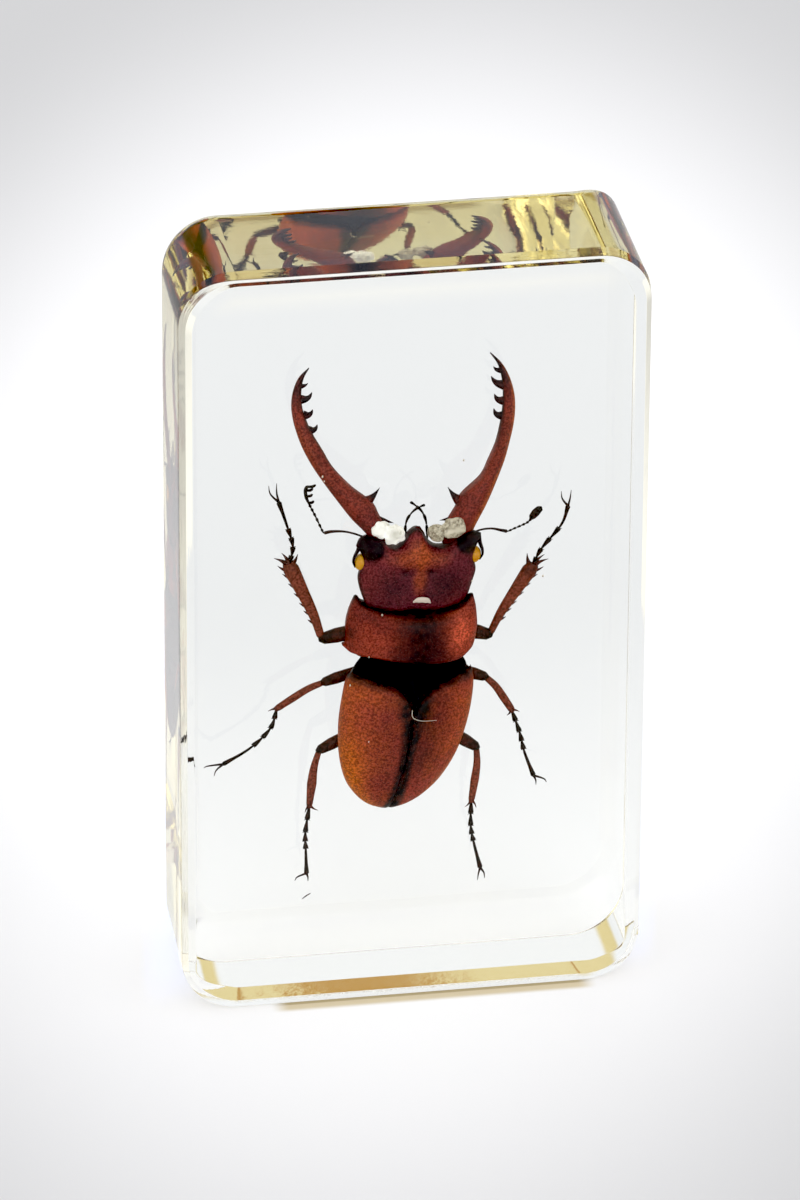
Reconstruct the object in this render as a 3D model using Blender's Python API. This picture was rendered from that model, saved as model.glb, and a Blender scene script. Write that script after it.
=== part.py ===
"""Stag beetle cast in a clear resin block.

The block stands on its short end. Its viewing face looks along -Y, +X is to the viewer's right and
+Z is up. The origin is the middle of the footprint, on the surface that the block stands on.
The resin is parted in two at the beetle's mid-plane, around the pocket that holds the beetle.
"""

import math

import bmesh
import bpy
from mathutils import Matrix, Vector

MM = 0.001  # all sizes below are in millimetres

# ---------------------------------------------------------------- resin block
BLOCK_WIDTH = 64.0
BLOCK_HEIGHT = 113.0
BLOCK_DEPTH = 24.5
CORNER_RADIUS = 7.8  # corners of the viewing face, seen from the front
CORNER_SEGMENTS = 10
SIDE_DRAFT = 0.3  # how far the sides and the top lean in, from front to back
BEVEL_WIDTH = 0.73  # steep bevel between the walls and the viewing face
BEVEL_DEPTH = 2.43
ROLL_WIDTH = 0.89  # softer band between the bevel and the flat of the viewing face
ROLL_DEPTH = 0.49
BACK_RADIUS = 5.5  # rounded edge around the back, at the top and the left
BACK_RADIUS_SHARP = 0.4  # the same edge at the base and the right, hardly broken
BACK_SEGMENTS = 6
BASE_TOLERANCE = 0.03  # a bevel may leave the base's corners this far off its plane
PARTING_GAP = 0.3  # between the two halves of the solid

# ---------------------------------------------------------------- beetle's place in the block
BEETLE_DEPTH = 16.0  # mid-plane of the beetle behind the viewing face
BEETLE_X = 0.77
BEETLE_Z = 53.41  # height of the middle of the pronotum
BEETLE_LEAN = 4.55  # degrees, head towards +X
BODY_ROLL = 12.0  # degrees, thorax and wing cases turned about the body's length

POCKET_CLEARANCE = 1.0
LEG_POCKET_FRONT = 2.0  # the flat pocket around legs and mandibles, each side of the mid-plane
LEG_POCKET_BACK = 6.0
BODY_POCKET_FRONT = 6.6  # the deeper pocket around the trunk
BODY_POCKET_BACK = 6.2
POCKET_EDGE = 1.0  # bevel of the pocket's edges

# ---------------------------------------------------------------- beetle, in its own frame
# x to the viewer's right, y into the block (the back of the beetle is at -y), z towards the head.
# A trunk station is (z, half width, height of the back, depth of the belly).
TRUNK_SIDES = 24
RINGS_PER_STATION = 2
SUTURE_DEPTH = 0.3  # groove where the wing cases meet
MANDIBLE_RINGS = 16
SIX_SIDES = 1  # a curve's bevel resolution, for legs and feelers
EIGHT_SIDES = 2
FOUR_SIDES = 0

ABDOMEN = (
    (-27.7, 0.9, 0.5, 0.5),
    (-26.9, 2.9, 1.6, 1.4),
    (-25.6, 4.7, 2.6, 2.2),
    (-23.0, 6.7, 3.5, 2.9),
    (-19.0, 8.4, 4.3, 3.5),
    (-14.0, 9.3, 4.7, 3.8),
    (-9.5, 9.4, 4.6, 3.8),
    (-6.9, 9.0, 4.2, 3.6),
    (-5.8, 8.1, 3.6, 3.3),
    (-5.2, 6.6, 2.8, 2.8),
)
WAIST = (
    (-7.0, 5.8, 2.4, 3.2),
    (-5.6, 6.9, 3.1, 3.4),
    (-3.4, 6.8, 2.9, 3.3),
    (-2.6, 5.8, 2.4, 3.0),
)
PRONOTUM = (
    (-4.4, 6.6, 2.9, 3.0),
    (-3.6, 7.8, 3.5, 3.5),
    (-2.2, 9.1, 4.0, 3.9),
    (1.0, 9.2, 4.3, 4.1),
    (4.0, 8.7, 4.0, 3.9),
    (5.8, 8.2, 3.5, 3.6),
    (6.6, 7.5, 2.8, 3.0),
)
PRONOTUM_SHIFT = -0.4  # its middle lies a little to the viewer's left
ABDOMEN_SHIFT = 0.73
ABDOMEN_SLANT = 0.042  # its tip lies further to the viewer's left than its front, per unit of length
HEAD = (
    (3.2, 5.6, 2.2, 2.4),
    (4.6, 6.9, 2.8, 2.9),
    (6.6, 7.6, 3.1, 3.2),
    (9.2, 8.0, 3.2, 3.3),
    (11.5, 7.9, 3.0, 3.2),
    (12.9, 7.5, 2.4, 2.8),
    (13.5, 6.6, 1.6, 2.0),
)

# Lumps are (centre, radii).
SCUTELLUM = ((0.8, -3.7, -7.3), (1.4, 0.85, 1.7))
CANTHUS = ((6.7, -0.4, 13.4), (1.9, 1.9, 1.6))  # black knob in front of each eye
EYE = ((7.8, 0.2, 10.9), (0.95, 1.3, 1.4))
COXAE = (
    ((2.6, 3.2, 0.0), (2.6, 1.9, 1.8)),
    ((3.2, 3.2, -8.4), (2.4, 1.8, 1.9)),
    ((3.4, 3.0, -14.6), (4.2, 1.7, 1.8)),
)
LABRUM = ((0.0, -1.2, 11.6), (-0.3, -0.2, 16.0))
LABRUM_RADII = (2.3, 0.55)

# The right mandible, from root to tip. Each point is (x, y, z, radius).
MANDIBLE = (
    (4.4, 0.6, 11.6, 1.9),
    (5.0, 0.6, 13.6, 2.2),
    (5.8, 0.6, 16.5, 2.15),
    (6.6, 0.6, 19.3, 2.05),
    (8.0, 0.6, 22.2, 1.5),
    (9.4, 0.6, 25.7, 1.15),
    (10.3, 0.6, 29.4, 1.0),
    (10.6, 0.6, 33.4, 0.95),
    (10.1, 0.6, 37.0, 0.8),
    (9.1, 0.6, 39.9, 0.5),
    (7.6, 0.6, 42.0, 0.12),
)
MANDIBLE_LENGTH = 27.0
MANDIBLE_DROP = 4.2  # how far its tip is bent towards the belly side
DROP_POWER = 1.6  # the bend grows towards the tip
DROP_ASIDE = (0.098, -0.328)  # how far the bend also moves it in x and z, for each mm that it drops
MANDIBLE_PIVOT = (7.3, 15.0)
MANDIBLE_OPEN_RIGHT = 0.0  # degrees that each mandible swings outwards
MANDIBLE_OPEN_LEFT = 21.0
MANDIBLE_DEPTH = 0.85  # thickness across the mandible's plane over its width in it
# Teeth on the inner edge: ((root x, z), (tip x, z), radius at the root).
TEETH = (
    ((9.3, 39.2), (8.0, 39.9), 0.3),
    ((9.7, 37.3), (7.9, 38.4), 0.42),
    ((10.0, 34.6), (8.5, 35.7), 0.42),
    ((10.0, 32.3), (8.7, 33.5), 0.4),
    ((6.0, 20.2), (3.3, 21.4), 0.85),
    ((5.4, 16.6), (3.0, 16.3), 0.7),
)

# Feelers: points (x, y, z, radius)
ANTENNA_LEFT = (
    (-6.6, 0.6, 13.4, 0.3),
    (-9.3, 0.7, 14.5, 0.17),
    (-11.6, 0.7, 14.8, 0.19),
    (-13.1, 0.7, 14.6, 0.3),
    (-14.3, 0.7, 16.7, 0.2),
    (-15.3, 0.7, 18.4, 0.26),
    (-16.0, 0.7, 19.6, 0.42),
    (-16.3, 0.7, 21.2, 0.42),
    (-16.0, 0.7, 21.6, 0.15),
)
ANTENNA_RIGHT = (
    (6.6, 0.6, 14.3, 0.3),
    (9.2, 0.7, 15.2, 0.17),
    (11.1, 0.7, 15.0, 0.2),
    (12.1, 0.7, 14.8, 0.28),
    (13.5, 0.7, 15.6, 0.19),
    (15.0, 0.7, 16.3, 0.28),
    (15.6, 0.7, 17.4, 0.55),
    (16.4, 0.7, 18.4, 0.42),
)
LAMELLA_LENGTH = 0.9  # leaves of the left antenna's open club
LAMELLA_RADIUS = 0.2
LAMELLA_HEIGHTS = (18.7, 19.6, 20.5, 21.3)
PALP_LEFT = (
    (-1.6, 0.9, 13.2, 0.3),
    (-1.8, 0.8, 15.6, 0.2),
    (-1.7, 0.7, 17.0, 0.24),
    (-1.1, 0.5, 18.1, 0.2),
    (-0.2, 0.3, 18.7, 0.24),
    (0.2, 0.3, 18.8, 0.1),
)
PALP_RIGHT = (
    (1.0, 0.9, 13.2, 0.3),
    (0.7, 0.9, 15.5, 0.2),
    (0.3, 0.9, 17.0, 0.24),
    (-0.3, 0.8, 18.1, 0.2),
    (-1.4, 0.7, 18.9, 0.24),
    (-1.7, 0.7, 19.1, 0.1),
)

# Legs: hip, knee, tibia_end and the foot's route past it are (x, y, z); claws are the two tips.
LEGS = {
    "front_left": {
        "hip": (-2.8, 3.2, 0.2),
        "thigh": 1.05,
        "knee": (-12.1, 1.8, -1.6),
        "tibia_end": (-17.7, 1.5, 10.1),
        "tibia": (0.55, 0.8, 1.0),
        "foot": ((-17.3, 1.5, 12.4), (-18.3, 1.5, 15.4), (-19.8, 1.5, 19.2)),
        "claws": ((-21.2, 1.4, 21.4), (-20.2, 1.7, 21.7)),
        "spurs": ((-19.4, 1.5, 10.3), (-18.5, 1.5, 10.9), (-16.5, 1.7, 10.9)),
        "spines": 6,
    },
    "front_right": {
        "hip": (2.8, 3.2, 0.2),
        "thigh": 1.0,
        "knee": (11.4, 1.8, -1.0),
        "tibia_end": (16.4, 1.5, 9.8),
        "tibia": (0.5, 0.8, 1.0),
        "foot": ((17.3, 1.5, 11.9), (19.6, 1.5, 15.6), (20.3, 1.5, 18.6)),
        "claws": ((19.2, 1.4, 20.6), (20.4, 1.7, 20.7)),
        "spurs": ((18.1, 1.5, 10.2), (17.6, 1.5, 10.8), (15.4, 1.7, 10.8)),
        "spines": 6,
    },
    "middle_left": {
        "hip": (-3.2, 3.2, -7.2),
        "thigh": 0.85,
        "knee": (-11.4, 2.2, -9.0),
        "tibia_end": (-17.7, 2.0, -13.3),
        "tibia": (0.5, 0.52, 0.5),
        "foot": ((-18.1, 2.0, -16.3), (-20.6, 2.0, -19.2), (-24.3, 2.0, -21.8)),
        "claws": ((-26.6, 1.9, -22.2), (-25.2, 2.2, -23.5)),
        "spurs": ((-18.4, 2.0, -13.6),),
        "spines": 0,
    },
    "middle_right": {
        "hip": (3.2, 3.2, -7.2),
        "thigh": 0.85,
        "knee": (11.4, 2.2, -8.2),
        "tibia_end": (15.6, 2.0, -13.7),
        "tibia": (0.5, 0.52, 0.5),
        "foot": ((16.8, 2.0, -16.8), (17.8, 2.0, -20.0), (19.5, 2.0, -23.9)),
        "claws": ((21.2, 1.9, -24.7), (19.8, 2.2, -25.1)),
        "spurs": ((16.5, 2.0, -13.7), (14.8, 2.0, -14.2)),
        "spines": 0,
    },
    "hind_left": {
        "hip": (-3.4, 3.0, -15.2),
        "thigh": 0.85,
        "knee": (-10.9, 2.2, -19.4),
        "tibia_end": (-11.6, 2.0, -28.7),
        "tibia": (0.42, 0.62, 0.48),
        "foot": ((-11.8, 2.0, -32.5), (-11.5, 2.0, -35.5), (-11.1, 2.0, -39.2)),
        "claws": ((-12.6, 1.9, -40.2), (-10.7, 2.2, -40.3)),
        "spurs": ((-10.4, 2.0, -28.9),),
        "spines": 0,
    },
    "hind_right": {
        "hip": (3.4, 3.0, -14.8),
        "thigh": 0.85,
        "knee": (11.1, 2.2, -18.9),
        "tibia_end": (11.0, 2.0, -28.0),
        "tibia": (0.42, 0.55, 0.48),
        "foot": ((11.3, 2.0, -31.6), (12.0, 2.0, -34.4), (13.3, 2.0, -38.5)),
        "claws": ((13.0, 1.9, -40.2), (14.0, 2.2, -40.0)),
        "spurs": ((11.7, 2.0, -28.7), (10.2, 2.0, -28.6)),
        "spines": 0,
    },
}
TOE_ENDS = (0.17, 0.33, 0.48, 0.62, 1.0)  # where each of the five foot joints ends along the foot
FOOT_ROOT = 0.6  # how far the foot's root is sunk in the tibia
FOOT_STEPS = 41
TOE_THIN = 0.17
TOE_THICK = 0.32
CLAW_RADIUS = 0.17
SPINE_LENGTH = 0.75
TIP_RADIUS = 0.08

# ---------------------------------------------------------------- colours
RESIN_COLOUR = (0.93, 0.94, 0.88, 1.0)
RESIN_IOR = 1.55
BEETLE_COLOUR = (0.27, 0.075, 0.025, 1.0)


def clear_scene():
    for thing in list(bpy.data.objects):
        bpy.data.objects.remove(thing, do_unlink=True)


def new_collection(name):
    group = bpy.data.collections.new(name)
    bpy.context.scene.collection.children.link(group)
    return group


def new_material(name, colour, roughness, transmission=0.0, ior=1.5):
    material = bpy.data.materials.new(name)
    material.use_nodes = True
    shader = material.node_tree.nodes["Principled BSDF"]
    shader.inputs["Base Color"].default_value = colour
    shader.inputs["Roughness"].default_value = roughness
    shader.inputs["Metallic"].default_value = 0.0
    shader.inputs["Transmission Weight"].default_value = transmission
    shader.inputs["IOR"].default_value = ior
    material.diffuse_color = colour
    return material


def object_from(bm, name, group):
    """Scale a millimetre mesh to metres and link it as an object."""
    bmesh.ops.scale(bm, vec=(MM, MM, MM), verts=bm.verts)
    bmesh.ops.recalc_face_normals(bm, faces=bm.faces)
    mesh = bpy.data.meshes.new(name)
    bm.to_mesh(mesh)
    bm.free()
    thing = bpy.data.objects.new(name, mesh)
    group.objects.link(thing)
    return thing


def make_cutter(thing):
    thing.hide_render = True
    thing.display_type = "WIRE"
    return thing


def boolean(target, operation, cutter=None, group=None):
    modifier = target.modifiers.new(operation.lower(), "BOOLEAN")
    modifier.operation = operation
    modifier.solver = "EXACT"
    if group:
        modifier.operand_type = "COLLECTION"
        modifier.collection = group
    else:
        modifier.object = cutter
    return modifier


# ---------------------------------------------------------------- resin
def box_bmesh(low, high):
    bm = bmesh.new()
    bmesh.ops.create_cube(bm, size=1.0)
    size = [b - a for a, b in zip(low, high)]
    middle = [(a + b) / 2 for a, b in zip(low, high)]
    bmesh.ops.scale(bm, vec=size, verts=bm.verts)
    bmesh.ops.translate(bm, vec=middle, verts=bm.verts)
    return bm


def edges_along_y(bm):
    return [e for e in bm.edges if abs(e.verts[0].co.y - e.verts[1].co.y) > 0.5]


def end_face(bm, side):
    """The face at the front (side -1) or the back (side 1) of a block."""
    return max(bm.faces, key=lambda face: side * face.calc_center_median().y)


def from_outline(x, z):
    """How far a place lies inside the block's outline, and the way out to it."""
    half = BLOCK_WIDTH / 2 - CORNER_RADIUS
    top = BLOCK_HEIGHT - CORNER_RADIUS
    centre_x = min(max(x, -half), half)
    centre_z = min(max(z, CORNER_RADIUS), top)
    offset = Vector((x - centre_x, z - centre_z))
    return CORNER_RADIUS - offset.length, offset.normalized()


def ease(value):
    """Smooth step from 0 to 1 over the value's range 0 to 1."""
    t = min(max(value, 0.0), 1.0)
    return t * t * (3 - 2 * t)


def sharpen_back(bm, back):
    """Makes the rounded back edge small along the base and the right side."""
    for vert in bm.verts:
        behind = back - vert.co.y
        if behind > BACK_RADIUS + BASE_TOLERANCE:
            continue
        inset, out = from_outline(vert.co.x, vert.co.z)
        low = ease(-out.y)
        sharp = low + ease(out.x) * (1 - low)
        share = 1 + (BACK_RADIUS_SHARP / BACK_RADIUS - 1) * sharp
        vert.co.x += out.x * inset * (1 - share)
        vert.co.z += out.y * inset * (1 - share)
        vert.co.y = back - behind * share
    rounded = [face for face in bm.faces if len(face.verts) == 4]
    bmesh.ops.triangulate(bm, faces=rounded)


def block_bmesh():
    """The whole cast block: rounded outline, draft, bevel and roll in front, rounded back edge."""
    front = -BLOCK_DEPTH / 2 + BEVEL_DEPTH + ROLL_DEPTH
    back = BLOCK_DEPTH / 2
    bm = box_bmesh((-BLOCK_WIDTH / 2, front, 0.0), (BLOCK_WIDTH / 2, back, BLOCK_HEIGHT))
    bmesh.ops.bevel(
        bm,
        geom=edges_along_y(bm),
        offset=CORNER_RADIUS,
        segments=CORNER_SEGMENTS,
        profile=0.5,
        affect="EDGES",
    )
    bmesh.ops.bevel(
        bm,
        geom=list(end_face(bm, 1).edges),
        offset=BACK_RADIUS,
        segments=BACK_SEGMENTS,
        profile=0.5,
        affect="EDGES",
    )
    sharpen_back(bm, back)
    for vert in bm.verts:
        share = (vert.co.y - front) / (back - front)
        vert.co.x *= 1 - 2 * SIDE_DRAFT / BLOCK_WIDTH * share
        vert.co.z *= 1 - SIDE_DRAFT / BLOCK_HEIGHT * share
    for width, depth in ((BEVEL_WIDTH, BEVEL_DEPTH), (ROLL_WIDTH, ROLL_DEPTH)):
        face = end_face(bm, -1)
        bmesh.ops.inset_region(bm, faces=[face], thickness=width, depth=depth, use_even_offset=True)
    for vert in bm.verts:
        if abs(vert.co.z) < BASE_TOLERANCE:
            vert.co.z = 0.0
    return bm


def specimen_outline():
    """Corners of the polygon, in the beetle's own frame, that holds its legs and mandibles."""
    reach = []
    for leg in LEGS.values():
        reach += [(x, z) for x, _, z in leg["claws"] + leg["spurs"]]
    for side in (-1, 1):
        for x, _, z, radius in MANDIBLE:
            reach.append(mandible_point(side, x + radius, 0.0, z)[::2])
    return convex_hull(reach)


def convex_hull(points):
    """Corners of the hull of flat points, anticlockwise (monotone chain)."""
    ordered = sorted(set(points))
    hull = []
    for row in (ordered, ordered[::-1]):
        chain = []
        for point in row:
            while len(chain) > 1 and turn(chain[-2], chain[-1], point) <= 0:
                chain.pop()
            chain.append(point)
        hull += chain[:-1]
    return hull


def turn(a, b, c):
    return (b[0] - a[0]) * (c[1] - a[1]) - (b[1] - a[1]) * (c[0] - a[0])


def pocket_cutter(group):
    """The flat pocket around legs and mandibles, joined to the deeper one around the trunk."""
    outline = grown(specimen_outline(), POCKET_CLEARANCE)
    bm = bmesh.new()
    verts = [bm.verts.new((x, LEG_POCKET_BACK, z)) for x, z in outline]
    face = bm.faces.new(verts)
    swept = bmesh.ops.extrude_face_region(bm, geom=[face])
    moved = [v for v in swept["geom"] if isinstance(v, bmesh.types.BMVert)]
    bmesh.ops.translate(bm, vec=(0, -LEG_POCKET_FRONT - LEG_POCKET_BACK, 0), verts=moved)
    flat = make_cutter(object_from(bm, "leg_pocket", group))

    widest = max(station[1] for station in ABDOMEN)
    low = (-widest - POCKET_CLEARANCE, -BODY_POCKET_FRONT, ABDOMEN[0][0] - POCKET_CLEARANCE)
    high = (widest + POCKET_CLEARANCE, BODY_POCKET_BACK, LABRUM[1][2] + 2 * POCKET_CLEARANCE)
    bm = box_bmesh(low, high)
    bmesh.ops.bevel(bm, geom=list(bm.edges), offset=POCKET_EDGE, segments=1, affect="EDGES")
    deep = make_cutter(object_from(bm, "body_pocket", group))
    for cutter in (flat, deep):
        cutter.matrix_world = beetle_place()
    return flat, deep


def grown(outline, distance):
    """A convex outline with each side moved outwards."""
    result = []
    count = len(outline)
    for i, (x, z) in enumerate(outline):
        before = Vector(outline[i - 1])
        here = Vector((x, z))
        after = Vector(outline[(i + 1) % count])
        normals = []
        for a, b in ((before, here), (here, after)):
            along = (b - a).normalized()
            normals.append(Vector((along.y, -along.x)))
        bisector = (normals[0] + normals[1]).normalized()
        moved = here + bisector * distance / max(0.5, bisector.dot(normals[0]))
        result.append((moved.x, moved.y))
    return result


def build_resin(group, cutters, material):
    parting = BEETLE_DEPTH - BLOCK_DEPTH / 2
    far = 2 * BLOCK_HEIGHT
    pockets = pocket_cutter(cutters)
    spans = {
        "resin_front": (-far, parting - PARTING_GAP / 2),
        "resin_back": (parting + PARTING_GAP / 2, far),
    }
    for name, (start, end) in spans.items():
        half = object_from(block_bmesh(), name, group)
        half.data.materials.append(material)
        bm = box_bmesh((-far, start, -far), (far, end, far))
        slab = make_cutter(object_from(bm, name + "_slab", cutters))
        boolean(half, "INTERSECT", slab)
        for pocket in pockets:
            boolean(half, "DIFFERENCE", pocket)


# ---------------------------------------------------------------- beetle
def beetle_place():
    """From the beetle's frame, in metres, to the block's frame."""
    middle = Vector((BEETLE_X, BEETLE_DEPTH - BLOCK_DEPTH / 2, BEETLE_Z)) * MM
    return Matrix.Translation(middle) @ Matrix.Rotation(math.radians(BEETLE_LEAN), 4, "Y")


def route(points, count):
    """Evenly spaced points on a smooth curve through the given ones."""
    vectors = [Vector(p) for p in points]
    ends = [2 * vectors[0] - vectors[1]] + vectors + [2 * vectors[-1] - vectors[-2]]
    result = []
    for step in range(count):
        along = step / (count - 1) * (len(vectors) - 1)
        i = min(int(along), len(vectors) - 2)
        t = along - i
        a, b, c, d = ends[i : i + 4]
        curve = 2 * b + (c - a) * t + (2 * a - 5 * b + 4 * c - d) * t * t
        curve += (3 * b - a - 3 * c + d) * t * t * t
        result.append(curve / 2)
    return result


def trunk(name, stations, group, roll=0.0, shift=0.0, slant=0.0, groove=0.0):
    """Loft of half-ellipse sections: a domed back, which may have a groove, and a flatter belly."""
    bm = bmesh.new()
    turned = Matrix.Rotation(math.radians(roll), 3, "Z")
    rings = []
    for z, width, back, belly in route(stations, RINGS_PER_STATION * (len(stations) - 1) + 1):
        ring = []
        for i in range(TRUNK_SIDES):
            angle = 2 * math.pi * i / TRUNK_SIDES
            across = math.cos(angle)
            up = math.sin(angle)
            height = (back if up > 0 else belly) * up
            if i == TRUNK_SIDES // 4:
                height -= min(groove, back / 2)
            point = turned @ Vector((width * across, -height, 0.0))
            ring.append(bm.verts.new((point.x + shift + slant * z, point.y, z)))
        rings.append(ring)
    for lower, upper in zip(rings, rings[1:]):
        for i in range(TRUNK_SIDES):
            j = (i + 1) % TRUNK_SIDES
            bm.faces.new((lower[i], lower[j], upper[j], upper[i]))
    bm.faces.new(rings[0][::-1])
    bm.faces.new(rings[-1])
    return object_from(bm, name, group)


def lump(name, centre, radii, group):
    bm = bmesh.new()
    bmesh.ops.create_uvsphere(bm, u_segments=12, v_segments=8, radius=1.0)
    bmesh.ops.scale(bm, vec=radii, verts=bm.verts)
    bmesh.ops.translate(bm, vec=centre, verts=bm.verts)
    return object_from(bm, name, group)


def limb(name, points, group, resolution=SIX_SIDES, flatten=1.0):
    """A tapering closed tube through points (x, y, z, radius)."""
    curve = bpy.data.curves.new(name, "CURVE")
    curve.dimensions = "3D"
    curve.bevel_depth = MM
    curve.bevel_resolution = resolution
    curve.use_fill_caps = True
    spline = curve.splines.new("POLY")
    spline.points.add(len(points) - 1)
    for target, (x, y, z, radius) in zip(spline.points, points):
        target.co = (x * MM, y * MM, z * MM, 1.0)
        target.radius = radius
    guide = bpy.data.objects.new(name + "_route", curve)
    group.objects.link(guide)
    depsgraph = bpy.context.evaluated_depsgraph_get()
    mesh = bpy.data.meshes.new_from_object(guide.evaluated_get(depsgraph))
    bm = bmesh.new()
    bm.from_mesh(mesh)
    bmesh.ops.remove_doubles(bm, verts=bm.verts, dist=0.000001)
    middle = sum(point[1] for point in points) / len(points) * MM
    for vert in bm.verts:
        vert.co.y = middle + (vert.co.y - middle) * flatten
    bmesh.ops.recalc_face_normals(bm, faces=bm.faces)
    bm.to_mesh(mesh)
    bm.free()
    thing = bpy.data.objects.new(name, mesh)
    thing.matrix_world = guide.matrix_world.copy()
    group.objects.link(thing)
    bpy.data.objects.remove(guide, do_unlink=True)
    return thing


def spike(name, root, tip, radius, group):
    """A four-sided spine, tooth or spur, hollowed a little on its way to the tip."""
    root = Vector(root)
    tip = Vector(tip)
    waist = root.lerp(tip, 0.55)
    points = ((*root, radius), (*waist, radius * 0.38), (*tip, TIP_RADIUS))
    return limb(name, points, group, resolution=FOUR_SIDES)


def mirrored(point, side):
    return (point[0] * side, *point[1:])


def mandible_point(side, x, y, z):
    """A point of the right mandible, swung open about its root and put on its side of the head."""
    opening = MANDIBLE_OPEN_RIGHT if side > 0 else MANDIBLE_OPEN_LEFT
    angle = math.radians(opening)
    dx = x - MANDIBLE_PIVOT[0]
    dz = z - MANDIBLE_PIVOT[1]
    out = MANDIBLE_PIVOT[0] + dx * math.cos(angle) + dz * math.sin(angle)
    ahead = MANDIBLE_PIVOT[1] - dx * math.sin(angle) + dz * math.cos(angle)
    return (side * out, y, ahead)


def mandible_drop(side, x, z):
    """How the bend towards the belly side moves a place on the mandible."""
    reach = math.hypot(x - side * MANDIBLE_PIVOT[0], z - MANDIBLE_PIVOT[1])
    drop = MANDIBLE_DROP * (reach / MANDIBLE_LENGTH) ** DROP_POWER
    return Vector((DROP_ASIDE[0] * drop, drop, DROP_ASIDE[1] * drop))


def build_mandible(side, group):
    word = "right" if side > 0 else "left"
    points = []
    for x, y, z, radius in route(MANDIBLE, MANDIBLE_RINGS):
        points.append((*mandible_point(side, x, y, z), radius))
    jaw = limb("mandible_" + word, points, group, resolution=EIGHT_SIDES, flatten=MANDIBLE_DEPTH)
    for vert in jaw.data.vertices:
        vert.co += mandible_drop(side, vert.co.x / MM, vert.co.z / MM) * MM
    level = MANDIBLE[0][1]
    for number, (root, tip, radius) in enumerate(TEETH):
        base = mandible_point(side, root[0], level, root[1])
        point = mandible_point(side, tip[0], level, tip[1])
        drop = mandible_drop(side, base[0], base[2])
        spike(f"tooth_{word}_{number}", Vector(base) + drop, Vector(point) + drop, radius, group)


def foot_points(leg):
    """The five joints of a foot: each is thin at its root and thick near its end."""
    end = Vector(leg["tibia_end"])
    root = end + (Vector(leg["knee"]) - end).normalized() * FOOT_ROOT
    fine = route((root, *leg["foot"]), FOOT_STEPS)
    points = []
    start = 0.0
    for end in TOE_ENDS:
        for share, radius in ((0.0, TOE_THIN), (0.75, TOE_THICK), (0.98, TOE_THIN)):
            where = start + (end - start) * share
            place = fine[round(where * (len(fine) - 1))]
            points.append((*place, radius))
        start = end
    points[-2] = (*points[-2][:3], TOE_THICK * 1.1)
    return points


def build_leg(name, leg, group):
    hip = Vector(leg["hip"])
    knee = Vector(leg["knee"])
    end = Vector(leg["tibia_end"])
    thigh = leg["thigh"]
    thin, middle, thick = leg["tibia"]
    overshoot = (knee - hip).normalized() * 0.3
    femur = [(*hip, thigh * 0.8), (*hip.lerp(knee, 0.55), thigh), (*knee, thigh * 0.9)]
    femur.append((*(knee + overshoot), thigh * 0.55))
    limb(name + "_femur", femur, group)
    tibia = [(*knee, thin), (*knee.lerp(end, 0.5), middle), (*knee.lerp(end, 0.93), thick)]
    tibia.append((*end, thick * 0.8))
    limb(name + "_tibia", tibia, group)
    limb(name + "_foot", foot_points(leg), group)
    for number, tip in enumerate(leg["claws"]):
        root = Vector(leg["foot"][-1])
        tip = Vector(tip)
        bow = root.lerp(tip, 0.5) + Vector((0.25 * (tip.x - root.x), 0.0, 0.0))
        inward = root + (Vector(leg["foot"][-2]) - root).normalized() * 0.25
        points = [(*inward, CLAW_RADIUS), (*bow, CLAW_RADIUS * 0.8), (*tip, TIP_RADIUS)]
        limb(f"{name}_claw_{number}", points, group, resolution=FOUR_SIDES)
    for number, tip in enumerate(leg["spurs"]):
        root = end.lerp(knee, 0.06)
        spike(f"{name}_spur_{number}", root, tip, thick * 0.4, group)
    outward = Vector((math.copysign(1.0, knee.x), 0.0, 0.25))
    for number in range(leg["spines"]):
        share = 0.3 + 0.6 * number / max(1, leg["spines"] - 1)
        root = knee.lerp(end, share)
        reach = thin + (thick - thin) * share + SPINE_LENGTH
        spike(f"{name}_spine_{number}", root, root + outward * reach, 0.3, group)


def build_antenna(group):
    limb("antenna_left", ANTENNA_LEFT, group)
    limb("antenna_right", ANTENNA_RIGHT, group)
    for number, z in enumerate(LAMELLA_HEIGHTS):
        root = (-16.1, 0.7, z - 0.1)
        tip = (root[0] + LAMELLA_LENGTH, 0.7, z + 0.35)
        points = ((*root, LAMELLA_RADIUS), (*tip, LAMELLA_RADIUS * 0.8))
        limb(f"lamella_{number}", points, group, resolution=FOUR_SIDES)


def build_head(group):
    trunk("head", HEAD, group)
    for side in (-1, 1):
        lump(f"canthus_{side}", mirrored(CANTHUS[0], side), CANTHUS[1], group)
        lump(f"eye_{side}", mirrored(EYE[0], side), EYE[1], group)
        build_mandible(side, group)
    labrum = [(*point, radius) for point, radius in zip(LABRUM, LABRUM_RADII)]
    limb("labrum", labrum, group, resolution=EIGHT_SIDES)
    limb("palp_left", PALP_LEFT, group)
    limb("palp_right", PALP_RIGHT, group)
    build_antenna(group)


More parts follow.
